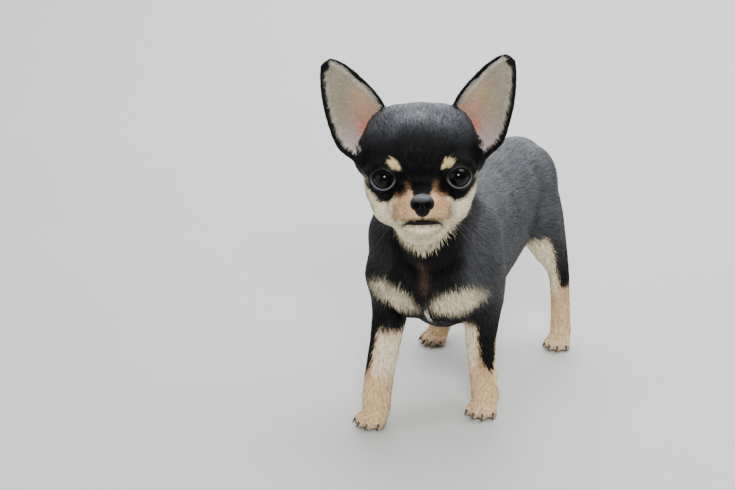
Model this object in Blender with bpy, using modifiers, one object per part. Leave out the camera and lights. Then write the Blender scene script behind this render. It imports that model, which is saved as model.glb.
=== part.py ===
"""A young smooth-coated chihuahua standing still, life size, head turned to its left.

The dog faces -Y, its left side is +X and the ground is z = 0. Everything is drawn in
millimetres and scaled to metres at the end. The flesh is modelled whole, blended, and
then parted by thin cuts, so that neighbouring nodes meet face to face.
"""

import math

import bmesh
import bpy
from mathutils import Matrix, Vector

MM = 0.001
GAP = 0.3
OBJECT_NAME = "chihuahua"

# Blending of the flesh
LARGE_VOXEL = 1.5
LARGE_ROUNDS = 12
FINE_VOXEL = 0.8
FINE_ROUNDS = 5
FLESH_TRIANGLES = 7800
HEAD_CARE = 0.3
RING_POINTS = 20

# Where the head is, and how it is turned
EYES_MIDDLE = Vector((7.4, -60, 163.3))
HEAD_YAW = math.radians(26)
HEAD_PITCH = math.radians(13)
HEAD_ROLL = math.radians(-1.5)

# Head sizes, in the head's own frame: origin between the eyes, nose towards -Y
EYE_X = 20.5
EYE_RADIUS = 8.2
EYE_OUTWARD = math.radians(13)
EYE_DOWN = math.radians(2)
CORNEA_RADIUS = 6.3
CORNEA_FORWARD = 2.6
LID_THICKNESS = 1.3
LID_HALF_WIDTH = 7.6
LID_HALF_HEIGHT = 5.9
NOSE_CENTRE = Vector((0, -25.0, -12.1))
NOSE_HALF_WIDTH = 6.9
NOSE_SEAT_GAP = GAP + 0.1
MOUTH_Z = -21.0
MOUTH_FRONT_Y = -24
MOUTH_CORNER_Y = -3
MOUTH_DROP = 6.6
MOUTH_DEPTH = 1.9
MOUTH_WIDTH = 1.0
CLEFT_DEPTH = 0.7
CLEFT_WIDTH = 0.8

# Ear sizes, in the head's frame: how far the cup is hollowed, rolled, and set back
EAR_THICKNESS = 1.7
EAR_ROWS = 15
EAR_COLUMNS = 10
EAR_VOXEL = 0.5
EAR_ROUNDS = 4
EAR_TRIANGLES = 620
EAR_ROOT_HOLLOW = 10.5
EAR_EVEN_HOLLOW = 2.2
EAR_ROLL = 7.0
EAR_SET_BACK = 15
EAR_TIP_BACK = 3.5
EAR_BOW = 3.0

# Nose leather
NOSE_VOXEL = 0.35
NOSE_ROUNDS = 5
NOSE_TRIANGLES = 340
SEAT_TRIANGLES = 360
NOSTRIL_VOXEL = 0.3
NOSTRIL_ROUNDS = 2
NOSTRIL_TRIANGLES = 100

# Legs: the box below takes in what the two eggs of a leg's region don't
TOE_SPREAD = 2.5
CLAW_RADIUS = 0.9
CLAW_LENGTH = 3.8
CLAW_TIP_RADIUS = 0.3
CLAW_TILT = math.radians(118)
LEG_BOX_INNER = 8
LEG_BOX_OUTER = 80
LEG_BOX_TOP = 44
BELOW_GROUND = -10
SOLE_HEIGHT = 0.1


def new_object(name, mesh, collection):
    made = bpy.data.objects.new(name, mesh)
    collection.objects.link(made)
    return made


def applied(obj):
    """Replaces an object's mesh by its evaluated one and removes its modifiers."""
    graph = bpy.context.evaluated_depsgraph_get()
    graph.update()
    mesh = bpy.data.meshes.new_from_object(obj.evaluated_get(graph))
    obj.modifiers.clear()
    old = obj.data
    obj.data = mesh
    bpy.data.meshes.remove(old)
    return obj


def removed(obj):
    mesh = obj.data
    bpy.data.objects.remove(obj)
    bpy.data.meshes.remove(mesh)


def copied(obj, name, collection):
    return new_object(name, obj.data.copy(), collection)


def head_matrix():
    """From the head's frame to the dog's frame."""
    turn = Matrix.Rotation(HEAD_YAW, 4, "Z") @ Matrix.Rotation(-HEAD_PITCH, 4, "X")
    return Matrix.Translation(EYES_MIDDLE) @ turn @ Matrix.Rotation(HEAD_ROLL, 4, "Y")


def blob(flesh, centre, radii, matrix=None, turn=None, segments=24):
    """An ellipsoid added to a bmesh."""
    place = Matrix.Translation(Vector(centre))
    if turn is not None:
        place = place @ turn
    place = place @ Matrix.Diagonal((*radii, 1))
    if matrix is not None:
        place = matrix @ place
    bmesh.ops.create_uvsphere(flesh, u_segments=segments, v_segments=segments // 2, radius=1, matrix=place)


def tube(flesh, stations, side=Vector((1, 0, 0)), matrix=None):
    """A closed loft through stations (x, y, z, half width, half depth), width along side."""
    place = matrix if matrix is not None else Matrix.Identity(4)
    centres = [Vector(station[:3]) for station in stations]
    rings = []
    for index, station in enumerate(stations):
        before = centres[max(index - 1, 0)]
        after = centres[min(index + 1, len(centres) - 1)]
        along = (after - before).normalized()
        across = (side - along * side.dot(along)).normalized()
        deep = along.cross(across)
        ring = []
        for step in range(RING_POINTS):
            angle = 2 * math.pi * step / RING_POINTS
            point = centres[index] + across * (station[3] * math.cos(angle))
            point = point + deep * (station[4] * math.sin(angle))
            ring.append(flesh.verts.new(place @ point))
        rings.append(ring)
    for first, second in zip(rings, rings[1:]):
        for step in range(RING_POINTS):
            after = (step + 1) % RING_POINTS
            flesh.faces.new((first[step], first[after], second[after], second[step]))
    flesh.faces.new(list(reversed(rings[0])))
    flesh.faces.new(rings[-1])


def mirrored_pair(flesh, centre, radii, matrix, turn_y=0.0):
    """The same ellipsoid on both sides of the head."""
    for side in (-1, 1):
        spot = (side * centre[0], centre[1], centre[2])
        blob(flesh, spot, radii, matrix, Matrix.Rotation(side * turn_y, 4, "Y"))


def add_torso(flesh):
    tube(flesh, (
        (2, -44, 93, 10, 14),
        (2, -38, 91, 20, 26),
        (2, -28, 91, 28, 38),
        (2, -12, 93, 31, 43),
        (2, 8, 94, 31, 42),
        (2, 28, 96.5, 30, 38.5),
        (2, 48, 99.5, 28.5, 35.5),
        (2, 66, 103.5, 27, 33),
        (2, 82, 107, 26, 30.5),
        (2, 95, 106, 22, 27),
        (2, 103, 103, 14, 19),
        (2, 107, 101, 7, 10),
    ))
    # Withers, loin and the two sides of the rump
    blob(flesh, (2, -8, 118), (22, 24, 19))
    blob(flesh, (2, 50, 111), (19, 44, 25))
    for side in (-1, 1):
        blob(flesh, (2 + side * 12, 84, 106), (17, 23, 27))
        blob(flesh, (2 + side * 18, -18 + side * 4, 110), (17, 21, 24))
        # Breast muscles beside the breastbone
        blob(flesh, (2 + side * 14, -30 + side * 2, 84), (15, 15, 24))


def add_neck(flesh):
    tube(flesh, (
        (2, -4, 102, 25, 26),
        (2, -15, 115, 26, 27),
        (1, -25, 129, 25, 25),
        (0, -32, 143, 24, 24),
        (-1, -36, 156, 23, 23),
    ))
    # Shoulder drawn forward on the right, nape and throat
    blob(flesh, (-24, -26, 108), (17, 18, 24))
    blob(flesh, (1, -14, 133), (19, 18, 19))
    blob(flesh, (3, -38, 118), (19, 15, 24))


def add_skull(flesh, matrix):
    # Domed skull, bulging forehead and the roots of the ears
    blob(flesh, (0, 24, 8.5), (33.5, 34, 31.5), matrix)
    mirrored_pair(flesh, (11, 19, 16.5), (22, 24, 23.5), matrix)
    blob(flesh, (0, 8, 13), (26, 19.5, 23), matrix)
    mirrored_pair(flesh, (17, 23, 21.5), (12.5, 17, 14.5), matrix)
    mirrored_pair(flesh, (28.2, 23, 9), (10.8, 15, 12.5), matrix)
    mirrored_pair(flesh, (25, 37.5, 21), (10, 9, 13), matrix)
    # Brow above each eye and the bony rim behind it
    mirrored_pair(flesh, (18.5, 4, 6), (12.5, 10.5, 9.5), matrix)
    mirrored_pair(flesh, (22.2, 9, 0), (11.2, 12, 13), matrix)
    # Cheeks, jaw muscles and the throat between them
    mirrored_pair(flesh, (19.8, 15, -7), (12.8, 20, 15), matrix)
    mirrored_pair(flesh, (15.5, 11, -18), (13.5, 19, 12), matrix)
    blob(flesh, (0, 14, -21), (20, 21, 15), matrix)
    blob(flesh, (0, 6, -29), (16, 14, 12), matrix)
    # The muzzle's root
    tube(flesh, (
        (0, 10, -12, 20, 13),
        (0, -2, -13, 18.8, 11.8),
        (0, -11, -13.6, 15.8, 10.4),
        (0, -18.5, -14.2, 12.6, 9),
    ), matrix=matrix)


def add_face(flesh, matrix):
    # Muzzle, its bridge and the whisker pads
    tube(flesh, (
        (0, 0, -12, 17, 11.4),
        (0, -11, -13.6, 15, 9.8),
        (0, -18, -14.2, 12.6, 8.8),
        (0, -23.3, -14.8, 9.8, 7.6),
        (0, -26.2, -15.2, 6, 5.5),
    ), matrix=matrix)
    mirrored_pair(flesh, (7.2, -14, -16.8), (8, 10.5, 6.8), matrix, 0.2)
    mirrored_pair(flesh, (11, -5, -15.5), (8.5, 11, 8.6), matrix)
    # Lower jaw and chin
    tube(flesh, (
        (0, 8, -25, 16, 9),
        (0, -4, -25.4, 13.5, 7.4),
        (0, -11, -25.4, 11.4, 6.6),
        (0, -16.5, -25.2, 9.2, 6),
        (0, -19.8, -24.8, 6, 4.8),
    ), matrix=matrix)
    for side in (-1, 1):
        # The lids begin as a slightly larger ball round each eye
        place = eye_matrix(matrix, side)
        blob(flesh, (0, 0, 0), [EYE_RADIUS + LID_THICKNESS] * 3, place)


def add_tail(flesh):
    tube(flesh, (
        (2, 94, 117, 8, 8),
        (2.2, 103, 116.5, 7.2, 7.2),
        (2.6, 110, 114.5, 6.2, 6.2),
        (3.4, 115.5, 108, 5.6, 5.6),
        (5, 118.5, 98, 5, 5),
        (7.5, 119.5, 87, 4.4, 4.4),
        (10.5, 119, 76, 3.8, 3.8),
        (13, 118, 67, 2.8, 2.8),
        (13.8, 117.6, 63.5, 1.4, 1.4),
    ))


FORELEGS = {
    "foreleg_left": {
        "paw": (30.5, -18, 0),
        "heading": math.radians(8),
        "stations": (
            (22, -2, 116, 9, 14),
            (27, -15, 102, 12, 17),
            (28.5, -15, 86, 12, 17.5),
            (25.8, -8, 70, 11, 15),
            (23.2, -6, 56, 10.2, 12),
            (22.8, -7, 41, 9.4, 9.8),
            (25.4, -9, 26, 8.8, 9),
            (29, -13, 14, 8.8, 8.6),
            (30.3, -16, 7, 8.6, 8.6),
        ),
        "region": ((45, -16, 74), (24, 33, 42)),
        "armpit": ((33, -8, 50), (20, 27, 25)),
        "ground": (-70, 22),
    },
    "foreleg_right": {
        "paw": (-22, -59, 0),
        "heading": math.radians(-8),
        "stations": (
            (-20, -8, 116, 9, 14),
            (-27, -26, 102, 12, 17),
            (-29, -29.5, 86, 12, 17.5),
            (-28.7, -24.5, 70, 11, 15),
            (-27.5, -28, 56, 10.2, 12),
            (-26.3, -37, 41, 9.2, 9.8),
            (-25.5, -46, 26, 8.8, 9),
            (-24, -53, 14, 8.8, 8.6),
            (-22, -57, 7, 8.6, 8.6),
        ),
        "region": ((-42, -26, 74), (24, 35, 42)),
        "armpit": ((-34, -28, 50), (20, 30, 25)),
        "ground": (-90, 10),
    },
}

HINDLEGS = {
    "hindleg_left": {
        "paw": (34, 90, 0),
        "heading": math.radians(5),
        "stations": (
            (15, 84, 112, 14, 20),
            (21, 80, 97, 13, 24),
            (26, 78, 84, 12, 21),
            (28.5, 83, 72, 10, 15),
            (29.4, 89, 62, 8.2, 11),
            (29.9, 93.5, 53, 7, 8.8),
            (30.5, 96.5, 43, 6.4, 7.2),
            (31.2, 97, 29, 6.1, 6.4),
            (32.4, 95.5, 15, 6.4, 6.4),
            (34, 92.5, 7, 7, 7.4),
        ),
        "region": ((45, 84, 72), (26, 38, 46)),
        "armpit": ((34, 78, 58), (20, 30, 24)),
        "ground": (40, 130),
    },
    "hindleg_right": {
        "paw": (-38, 63, 0),
        "heading": math.radians(-5),
        "stations": (
            (-11, 82, 112, 14, 20),
            (-17, 74, 97, 13, 24),
            (-22, 67, 84, 12, 21),
            (-25.5, 65, 72, 10, 15),
            (-29, 68.5, 62, 8.2, 11),
            (-32.2, 73, 53, 7, 8.8),
            (-35, 76.5, 43, 6.4, 7.2),
            (-36.4, 75.5, 29, 6.1, 6.4),
            (-37.4, 71, 15, 6.4, 6.4),
            (-38, 66.5, 7, 7, 7.4),
        ),
        "region": ((-43, 72, 72), (28, 40, 46)),
        "armpit": ((-31, 64, 58), (20, 30, 24)),
        "ground": (30, 125),
    },
}

LEGS = {**FORELEGS, **HINDLEGS}
LEG_SCALES = {"foreleg_left": 1.02, "foreleg_right": 1.02, "hindleg_left": 0.9, "hindleg_right": 0.9}


def paw_matrix(leg):
    return Matrix.Translation(Vector(leg["paw"])) @ Matrix.Rotation(leg["heading"], 4, "Z")


def toe_places():
    """Each toe's centre, half sizes and turn, in the paw's frame."""
    for side in (-1, 1):
        yield Vector((side * TOE_SPREAD, -8.2, 4.3)), Vector((2.7, 5.6, 4.5)), side * 0.04
        yield Vector((side * TOE_SPREAD * 2.75, -4.6, 3.9)), Vector((2.6, 5.2, 4.1)), side * 0.22


def add_paw(flesh, leg, scale):
    matrix = paw_matrix(leg) @ Matrix.Scale(scale, 4)
    blob(flesh, (0, 0, 6), (8, 8.5, 6.4), matrix)
    blob(flesh, (0, 1, 2.4), (6, 6.5, 3.2), matrix)
    for centre, radii, turn in toe_places():
        blob(flesh, centre, radii, matrix, Matrix.Rotation(turn, 4, "Z"))


def add_upper_legs(flesh):
    for leg in LEGS.values():
        tube(flesh, leg["stations"][:7])


def add_lower_legs(flesh):
    for name, leg in LEGS.items():
        tube(flesh, leg["stations"][3:])
        add_paw(flesh, leg, LEG_SCALES[name])


def bmesh_object(name, flesh, collection):
    bmesh.ops.triangulate(flesh, faces=flesh.faces)
    mesh = bpy.data.meshes.new(name)
    flesh.to_mesh(mesh)
    flesh.free()
    return new_object(name, mesh, collection)


def blended(obj, voxel, rounds):
    """Melts overlapping forms into one smooth closed surface."""
    melt = obj.modifiers.new("melt", "REMESH")
    melt.mode = "VOXEL"
    melt.voxel_size = voxel
    soften = obj.modifiers.new("soften", "SMOOTH")
    soften.factor = 0.6
    soften.iterations = rounds
    return applied(obj)


def boolean(obj, cutter, operation):
    cut = obj.modifiers.new("cut", "BOOLEAN")
    cut.solver = "EXACT"
    cut.operation = operation
    cut.object = cutter
    return applied(obj)


def islands(mesh):
    """The mesh's closed surfaces, each as a list of face indices, largest first."""
    found = bmesh.new()
    found.from_mesh(mesh)
    found.faces.ensure_lookup_table()
    seen = set()
    groups = []
    for start in found.faces:
        if start.index in seen:
            continue
        group = []
        stack = [start]
        seen.add(start.index)
        while stack:
            face = stack.pop()
            group.append(face.index)
            for edge in face.edges:
                for near in edge.link_faces:
                    if near.index not in seen:
                        seen.add(near.index)
                        stack.append(near)
        groups.append(group)
    areas = [sum(found.faces[index].calc_area() for index in group) for group in groups]
    found.free()
    order = sorted(range(len(groups)), key=lambda index: -areas[index])
    return [groups[index] for index in order]


def keep_largest(obj):
    """Keeps the largest closed surface, so that scraps and sealed hollows go, as triangles."""
    groups = islands(obj.data)
    kept = set(groups[0])
    shape = bmesh.new()
    shape.from_mesh(obj.data)
    shape.faces.ensure_lookup_table()
    extra = [face for face in shape.faces if face.index not in kept]
    bmesh.ops.delete(shape, geom=extra, context="FACES")
    bmesh.ops.triangulate(shape, faces=shape.faces)
    shape.to_mesh(obj.data)
    shape.free()
    return obj


def decimated(obj, triangles, weight_of=None):
    """Thins a mesh to so many triangles, more slowly where weight_of is less than 1."""
    faces = sum(len(face.vertices) - 2 for face in obj.data.polygons)
    thin = obj.modifiers.new("thin", "DECIMATE")
    thin.ratio = triangles / faces
    thin.use_collapse_triangulate = True
    if weight_of is not None:
        group = obj.vertex_groups.new(name="thin")
        for vertex in obj.data.vertices:
            group.add([vertex.index], weight_of(vertex.co), "REPLACE")
        thin.vertex_group = "thin"
        thin.vertex_group_factor = HEAD_CARE
    applied(obj)
    obj.vertex_groups.clear()
    return obj


def head_side(point):
    """How far a point lies on the head's side of the cut behind the jaw."""
    return (Vector(point) - HEAD_CUT[0]).dot(HEAD_CUT[1])


TAIL_CUT_Y = 108.3
TAIL_BLOCK = ((-40, TAIL_CUT_Y, 40), (60, 150, 140))
HEAD_CUT = (Vector((0, -27, 141)), Vector((0.16, -0.45, 0.88)).normalized())
NECK_CUT = (Vector((2, -24, 117)), Vector((0.0, -0.52, 0.85)).normalized())


def half_space(name, cut, offset, collection, size=200):
    """A big block whose flat face is the cut plane moved by offset along its normal."""
    point, normal = cut
    shape = bmesh.new()
    turn = normal.to_track_quat("Z", "Y").to_matrix().to_4x4()
    place = Matrix.Translation(point + normal * (offset + size / 2)) @ turn
    bmesh.ops.create_cube(shape, size=size, matrix=place)
    return bmesh_object(name, shape, collection)


def ellipsoid(name, centre, radii, grow, collection):
    shape = bmesh.new()
    radii = [radius + grow for radius in radii]
    blob(shape, centre, radii, segments=28)
    return bmesh_object(name, shape, collection)


def block(name, low, high, grow, collection):
    """A box between two corners, grown on every side."""
    middle = (Vector(low) + Vector(high)) / 2
    size = Vector(high) - Vector(low) + Vector((2 * grow, 2 * grow, 2 * grow))
    shape = bmesh.new()
    place = Matrix.Translation(middle) @ Matrix.Diagonal((*size, 1))
    bmesh.ops.create_cube(shape, size=1, matrix=place)
    return bmesh_object(name, shape, collection)


def leg_region(leg, grow, collection):
    """What belongs to a leg: an egg round the shoulder or thigh, one in the armpit, and a box."""
    centre, radii = leg["region"]
    region = ellipsoid("region", centre, radii, grow, collection)
    fold = ellipsoid("fold", *leg["armpit"], grow, collection)
    boolean_and_drop(region, fold, "UNION")
    side = math.copysign(1, centre[0])
    near, far = sorted((side * LEG_BOX_INNER, side * LEG_BOX_OUTER))
    fore, back = leg["ground"]
    box = block("box", (near, fore, BELOW_GROUND), (far, back, LEG_BOX_TOP), grow, collection)
    boolean_and_drop(region, box, "UNION")
    return region


def parted(flesh, name, inner, outer, nodes):
    """Moves what lies inside a region to a node of its own, leaving a thin gap."""
    piece = copied(flesh, name, nodes)
    boolean(piece, inner, "INTERSECT")
    boolean(flesh, outer, "DIFFERENCE")
    removed(inner)
    removed(outer)
    keep_largest(piece)
    keep_largest(flesh)
    return piece


def eye_matrix(matrix, side):
    """The eyeball's frame: looking along -Y, a little outward and down."""
    turn = Matrix.Rotation(side * EYE_OUTWARD, 4, "Z") @ Matrix.Rotation(EYE_DOWN, 4, "X")
    return matrix @ Matrix.Translation((side * EYE_X, 0, 0)) @ turn


def smooth_step(value):
    value = max(0.0, min(1.0, value))
    return value * value * (3 - 2 * value)


def lip_height(y):
    """Height of the line between the lips, which drops from the front to the corner."""
    part = max(0.0, (y - MOUTH_FRONT_Y) / (MOUTH_CORNER_Y - MOUTH_FRONT_Y))
    return MOUTH_Z - MOUTH_DROP * part ** 1.1


def carve_mouth(flesh, matrix):
    """Presses the line of the lips and the cleft under the nose into the muzzle."""
    back = matrix.inverted()
    normals = [Vector(normal.vector) for normal in flesh.data.vertex_normals]
    moves = {}
    for vertex in flesh.data.vertices:
        spot = back @ vertex.co
        if spot.y > MOUTH_CORNER_Y + 4 or abs(spot.x) > 19 or not -32 < spot.z < -14:
            continue
        fade = 1 - smooth_step((spot.y - MOUTH_CORNER_Y + 3) / 6)
        away = (spot.z - lip_height(spot.y)) / MOUTH_WIDTH
        depth = MOUTH_DEPTH * fade * math.exp(-away * away)
        if spot.y < -14 and spot.z > lip_height(spot.y):
            depth += CLEFT_DEPTH * math.exp(-((spot.x / CLEFT_WIDTH) ** 2))
        moves[vertex.index] = depth
    for index, depth in moves.items():
        flesh.data.vertices[index].co -= normals[index] * depth


def lid_opening(name, place, collection):
    """A flared almond that opens the lids over the front of the eyeball."""
    shape = bmesh.new()
    rings = []
    count = 28
    for depth, spread in ((-3.0, 0.84), (-EYE_RADIUS - LID_THICKNESS - 4, 1.22)):
        ring = []
        for step in range(count):
            angle = 2 * math.pi * step / count
            x = LID_HALF_WIDTH * math.cos(angle)
            z = LID_HALF_HEIGHT * math.sin(angle)
            z = z * (1 - 0.22 * abs(math.cos(angle)) ** 3)
            ring.append(shape.verts.new(place @ Vector((x * spread, depth, z * spread))))
        rings.append(ring)
    for step in range(count):
        after = (step + 1) % count
        shape.faces.new((rings[0][step], rings[0][after], rings[1][after], rings[1][step]))
    shape.faces.new(list(reversed(rings[0])))
    shape.faces.new(rings[1])
    bmesh.ops.recalc_face_normals(shape, faces=shape.faces)
    return bmesh_object(name, shape, collection)


def carve_eyes(head, matrix, cutters):
    """Cuts each socket and the opening between the lids."""
    for side in (-1, 1):
        place = eye_matrix(matrix, side)
        socket = bmesh.new()
        grown = EYE_RADIUS + GAP
        bmesh.ops.create_uvsphere(socket, u_segments=24, v_segments=14, radius=grown, matrix=place)
        boolean_and_drop(head, bmesh_object("socket", socket, cutters), "DIFFERENCE")
        boolean_and_drop(head, lid_opening("opening", place, cutters), "DIFFERENCE")


def boolean_and_drop(obj, cutter, operation):
    boolean(obj, cutter, operation)
    removed(cutter)


def make_eye(name, matrix, side, nodes, cutters):
    """An eyeball with its cornea standing a little proud."""
    place = eye_matrix(matrix, side)
    upright = place @ Matrix.Rotation(math.radians(90), 4, "X")
    ball = bmesh.new()
    bmesh.ops.create_uvsphere(ball, u_segments=18, v_segments=10, radius=EYE_RADIUS, matrix=upright)
    eye = bmesh_object(name, ball, nodes)
    front = bmesh.new()
    lens = upright @ Matrix.Translation((0, 0, CORNEA_FORWARD))
    bmesh.ops.create_uvsphere(front, u_segments=18, v_segments=10, radius=CORNEA_RADIUS, matrix=lens)
    boolean_and_drop(eye, bmesh_object("cornea", front, cutters), "UNION")
    return keep_largest(eye)


def nose_form(shape, matrix, grow):
    """The nose leather: a broad pad, narrower below, with a rounded top."""
    width = NOSE_HALF_WIDTH
    x, y, z = NOSE_CENTRE
    blob(shape, (0, y + 0.3, z + 2.1), (width * 0.92 + grow, 4.8 + grow, 4.0 + grow), matrix)
    blob(shape, (0, y - 0.2, z - 2.4), (4.4 + grow, 3.9 + grow, 4.6 + grow), matrix)
    for side in (-1, 1):
        spot = (side * width * 0.55, y + 0.4, z + 0.4)
        blob(shape, spot, (3.1 + grow, 4.2 + grow, 3.7 + grow), matrix)


def make_nose(matrix, nodes, cutters):
    shape = bmesh.new()
    nose_form(shape, matrix, 0)
    nose = blended(bmesh_object("nose", shape, nodes), NOSE_VOXEL, NOSE_ROUNDS)
    decimated(nose, NOSE_TRIANGLES)
    for side in (-1, 1):
        hole = bmesh.new()
        start = NOSE_CENTRE + Vector((side * 3.3, -4.3, 0.2))
        turn = Matrix.Rotation(side * 0.5, 4, "Z")
        blob(hole, start, (1.15, 1.9, 1.5), matrix, turn, segments=12)
        slit = NOSE_CENTRE + Vector((side * 4.9, -3.0, -1.0))
        blob(hole, slit, (1.7, 1.5, 0.55), matrix, turn, segments=12)
        cutter = blended(bmesh_object("nostril", hole, cutters), NOSTRIL_VOXEL, NOSTRIL_ROUNDS)
        decimated(cutter, NOSTRIL_TRIANGLES)
        boolean_and_drop(nose, cutter, "DIFFERENCE")
    return keep_largest(nose)


def make_nose_seat(head, matrix, cutters):
    """Cuts the seat of the nose leather out of the muzzle."""
    shape = bmesh.new()
    nose_form(shape, matrix, NOSE_SEAT_GAP)
    seat = blended(bmesh_object("seat", shape, cutters), NOSE_VOXEL, NOSE_ROUNDS)
    decimated(seat, SEAT_TRIANGLES)
    boolean_and_drop(head, seat, "DIFFERENCE")


# Stations of the ear's two edges as (x, z), from the root to the tip, in the head's frame
EAR_INNER = ((16, 30), (19.5, 37.5), (24, 45.5), (30.8, 53.4), (38, 60.2), (44.7, 64.8), (50.6, 66.8))
EAR_OUTER = ((33, 4), (39.5, 10), (47, 16.5), (51.5, 28.5), (54.5, 40.5), (56, 53), (55.8, 63.4))


def between(stations, part):
    """A point along a short line of stations, with part from 0 to 1."""
    spot = part * (len(stations) - 1)
    index = min(int(spot), len(stations) - 2)
    share = spot - index
    first = Vector(stations[index])
    second = Vector(stations[index + 1])
    before = Vector(stations[max(index - 1, 0)])
    after = Vector(stations[min(index + 2, len(stations) - 1)])
    curve = (second - before) * 0.5
    leave = (after - first) * 0.5
    a = 2 * share ** 3 - 3 * share ** 2 + 1
    b = share ** 3 - 2 * share ** 2 + share
    c = -2 * share ** 3 + 3 * share ** 2
    d = share ** 3 - share ** 2
    return first * a + curve * b + second * c + leave * d


def ear_point(across, along):
    """The ear's front face: across runs from the inner edge 0 to the outer edge 1."""
    inner = between(EAR_INNER, along)
    outer = between(EAR_OUTER, along)
    flat = inner.lerp(outer, across)
    hollow = math.sin(math.pi * across) ** 0.8
    depth = EAR_ROOT_HOLLOW * (1 - along) ** 1.3 + EAR_EVEN_HOLLOW * (1 - along)
    roll = EAR_ROLL * (1 - along) ** 2 * (across - 0.5)
    lean = EAR_SET_BACK + EAR_TIP_BACK * along - EAR_BOW * math.sin(math.pi * along)
    return Vector((flat.x, lean + depth * hollow - roll, flat.y))


def make_ear(name, side, matrix, head, nodes, cutters):
    """A thin cupped ear, its root sunk in the skull and then trimmed to it."""
    sheet = bmesh.new()
    grid = []
    for row in range(EAR_ROWS + 1):
        along = row / EAR_ROWS
        line = []
        for column in range(EAR_COLUMNS + 1):
            point = ear_point(column / EAR_COLUMNS, along)
            line.append(sheet.verts.new(matrix @ Vector((side * point.x, point.y, point.z))))
        grid.append(line)
    for row in range(EAR_ROWS):
        for column in range(EAR_COLUMNS):
            corners = [grid[row][column], grid[row][column + 1]]
            corners += [grid[row + 1][column + 1], grid[row + 1][column]]
            sheet.faces.new(corners if side > 0 else list(reversed(corners)))
    mesh = bpy.data.meshes.new(name)
    sheet.to_mesh(mesh)
    sheet.free()
    ear = new_object(name, mesh, nodes)
    thick = ear.modifiers.new("thick", "SOLIDIFY")
    thick.thickness = EAR_THICKNESS
    thick.offset = -1
    thick.use_even_offset = True
    applied(ear)
    blended(ear, EAR_VOXEL, EAR_ROUNDS)
    decimated(ear, EAR_TRIANGLES)
    trim = copied(head, "trim", cutters)
    swell = trim.modifiers.new("swell", "DISPLACE")
    swell.strength = GAP
    swell.mid_level = 0
    applied(trim)
    boolean_and_drop(ear, trim, "DIFFERENCE")
    return keep_largest(ear)


def add_claws(leg_object, leg, scale, cutters):
    """Four short claws, each sunk in the end of its toe."""
    matrix = paw_matrix(leg) @ Matrix.Scale(scale, 4)
    for centre, radii, turn in toe_places():
        claw = bmesh.new()
        tip = Vector((math.sin(turn) * radii.y, -radii.y * 0.94, -0.3))
        place = matrix @ Matrix.Translation(centre + tip) @ Matrix.Rotation(turn, 4, "Z")
        place = place @ Matrix.Rotation(CLAW_TILT, 4, "X")
        bmesh.ops.create_cone(
            claw, cap_ends=True, segments=6, radius1=CLAW_RADIUS, radius2=CLAW_TIP_RADIUS,
            depth=CLAW_LENGTH, matrix=place,
        )
        boolean_and_drop(leg_object, bmesh_object("claw", claw, cutters), "UNION")
    keep_largest(leg_object)


def flatten_soles(flesh, cutters):
    """Cuts every paw flat at the ground."""
    ground = block("ground", (-150, -180, -50), (150, 220, SOLE_HEIGHT), 0, cutters)
    boolean_and_drop(flesh, ground, "DIFFERENCE")


MATERIALS = {
    "torso": ("coat_black", (0.022, 0.021, 0.023), 0.55),
    "neck": ("coat_neck", (0.018, 0.017, 0.019), 0.55),
    "head": ("coat_head", (0.05, 0.045, 0.04), 0.55),
    "tail": ("coat_tail", (0.02, 0.019, 0.02), 0.55),
    "foreleg_left": ("coat_foreleg_left", (0.42, 0.27, 0.15), 0.6),
    "foreleg_right": ("coat_foreleg_right", (0.42, 0.27, 0.15), 0.6),
    "hindleg_left": ("coat_hindleg_left", (0.4, 0.28, 0.17), 0.6),
    "hindleg_right": ("coat_hindleg_right", (0.4, 0.28, 0.17), 0.6),
    "ear_left": ("ear_skin_left", (0.5, 0.3, 0.22), 0.6),
    "ear_right": ("ear_skin_right", (0.5, 0.3, 0.22), 0.6),
    "eye_left": ("eye_glass_left", (0.012, 0.008, 0.007), 0.08),
    "eye_right": ("eye_glass_right", (0.012, 0.008, 0.007), 0.08),
    "nose": ("nose_leather", (0.012, 0.012, 0.014), 0.35),
}


def give_material(obj):
    name, colour, roughness = MATERIALS[obj.name]
    made = bpy.data.materials.new(name)
    made.use_nodes = True
    shader = made.node_tree.nodes["Principled BSDF"]
    shader.inputs["Base Color"].default_value = (*colour, 1)
    shader.inputs["Roughness"].default_value = roughness
    shader.inputs["Metallic"].default_value = 0
    made.diffuse_color = (*colour, 1)
    obj.data.materials.clear()
    obj.data.materials.append(made)


def scale_and_centre(nodes):
    """To metres, with the origin under the middle of the outer box."""
    points = [vertex.co for obj in nodes.objects for vertex in obj.data.vertices]
    low = Vector([min(point[axis] for point in points) for axis in range(3)])
    high = Vector([max(point[axis] for point in points) for axis in range(3)])
    base = Vector(((low.x + high.x) / 2, (low.y + high.y) / 2, low.z))
    shift = Matrix.Scale(MM, 4) @ Matrix.Translation(-base)
    for obj in nodes.objects:
        obj.data.transform(shift)
        obj.data.update()
        obj.data.shade_smooth()


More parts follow.
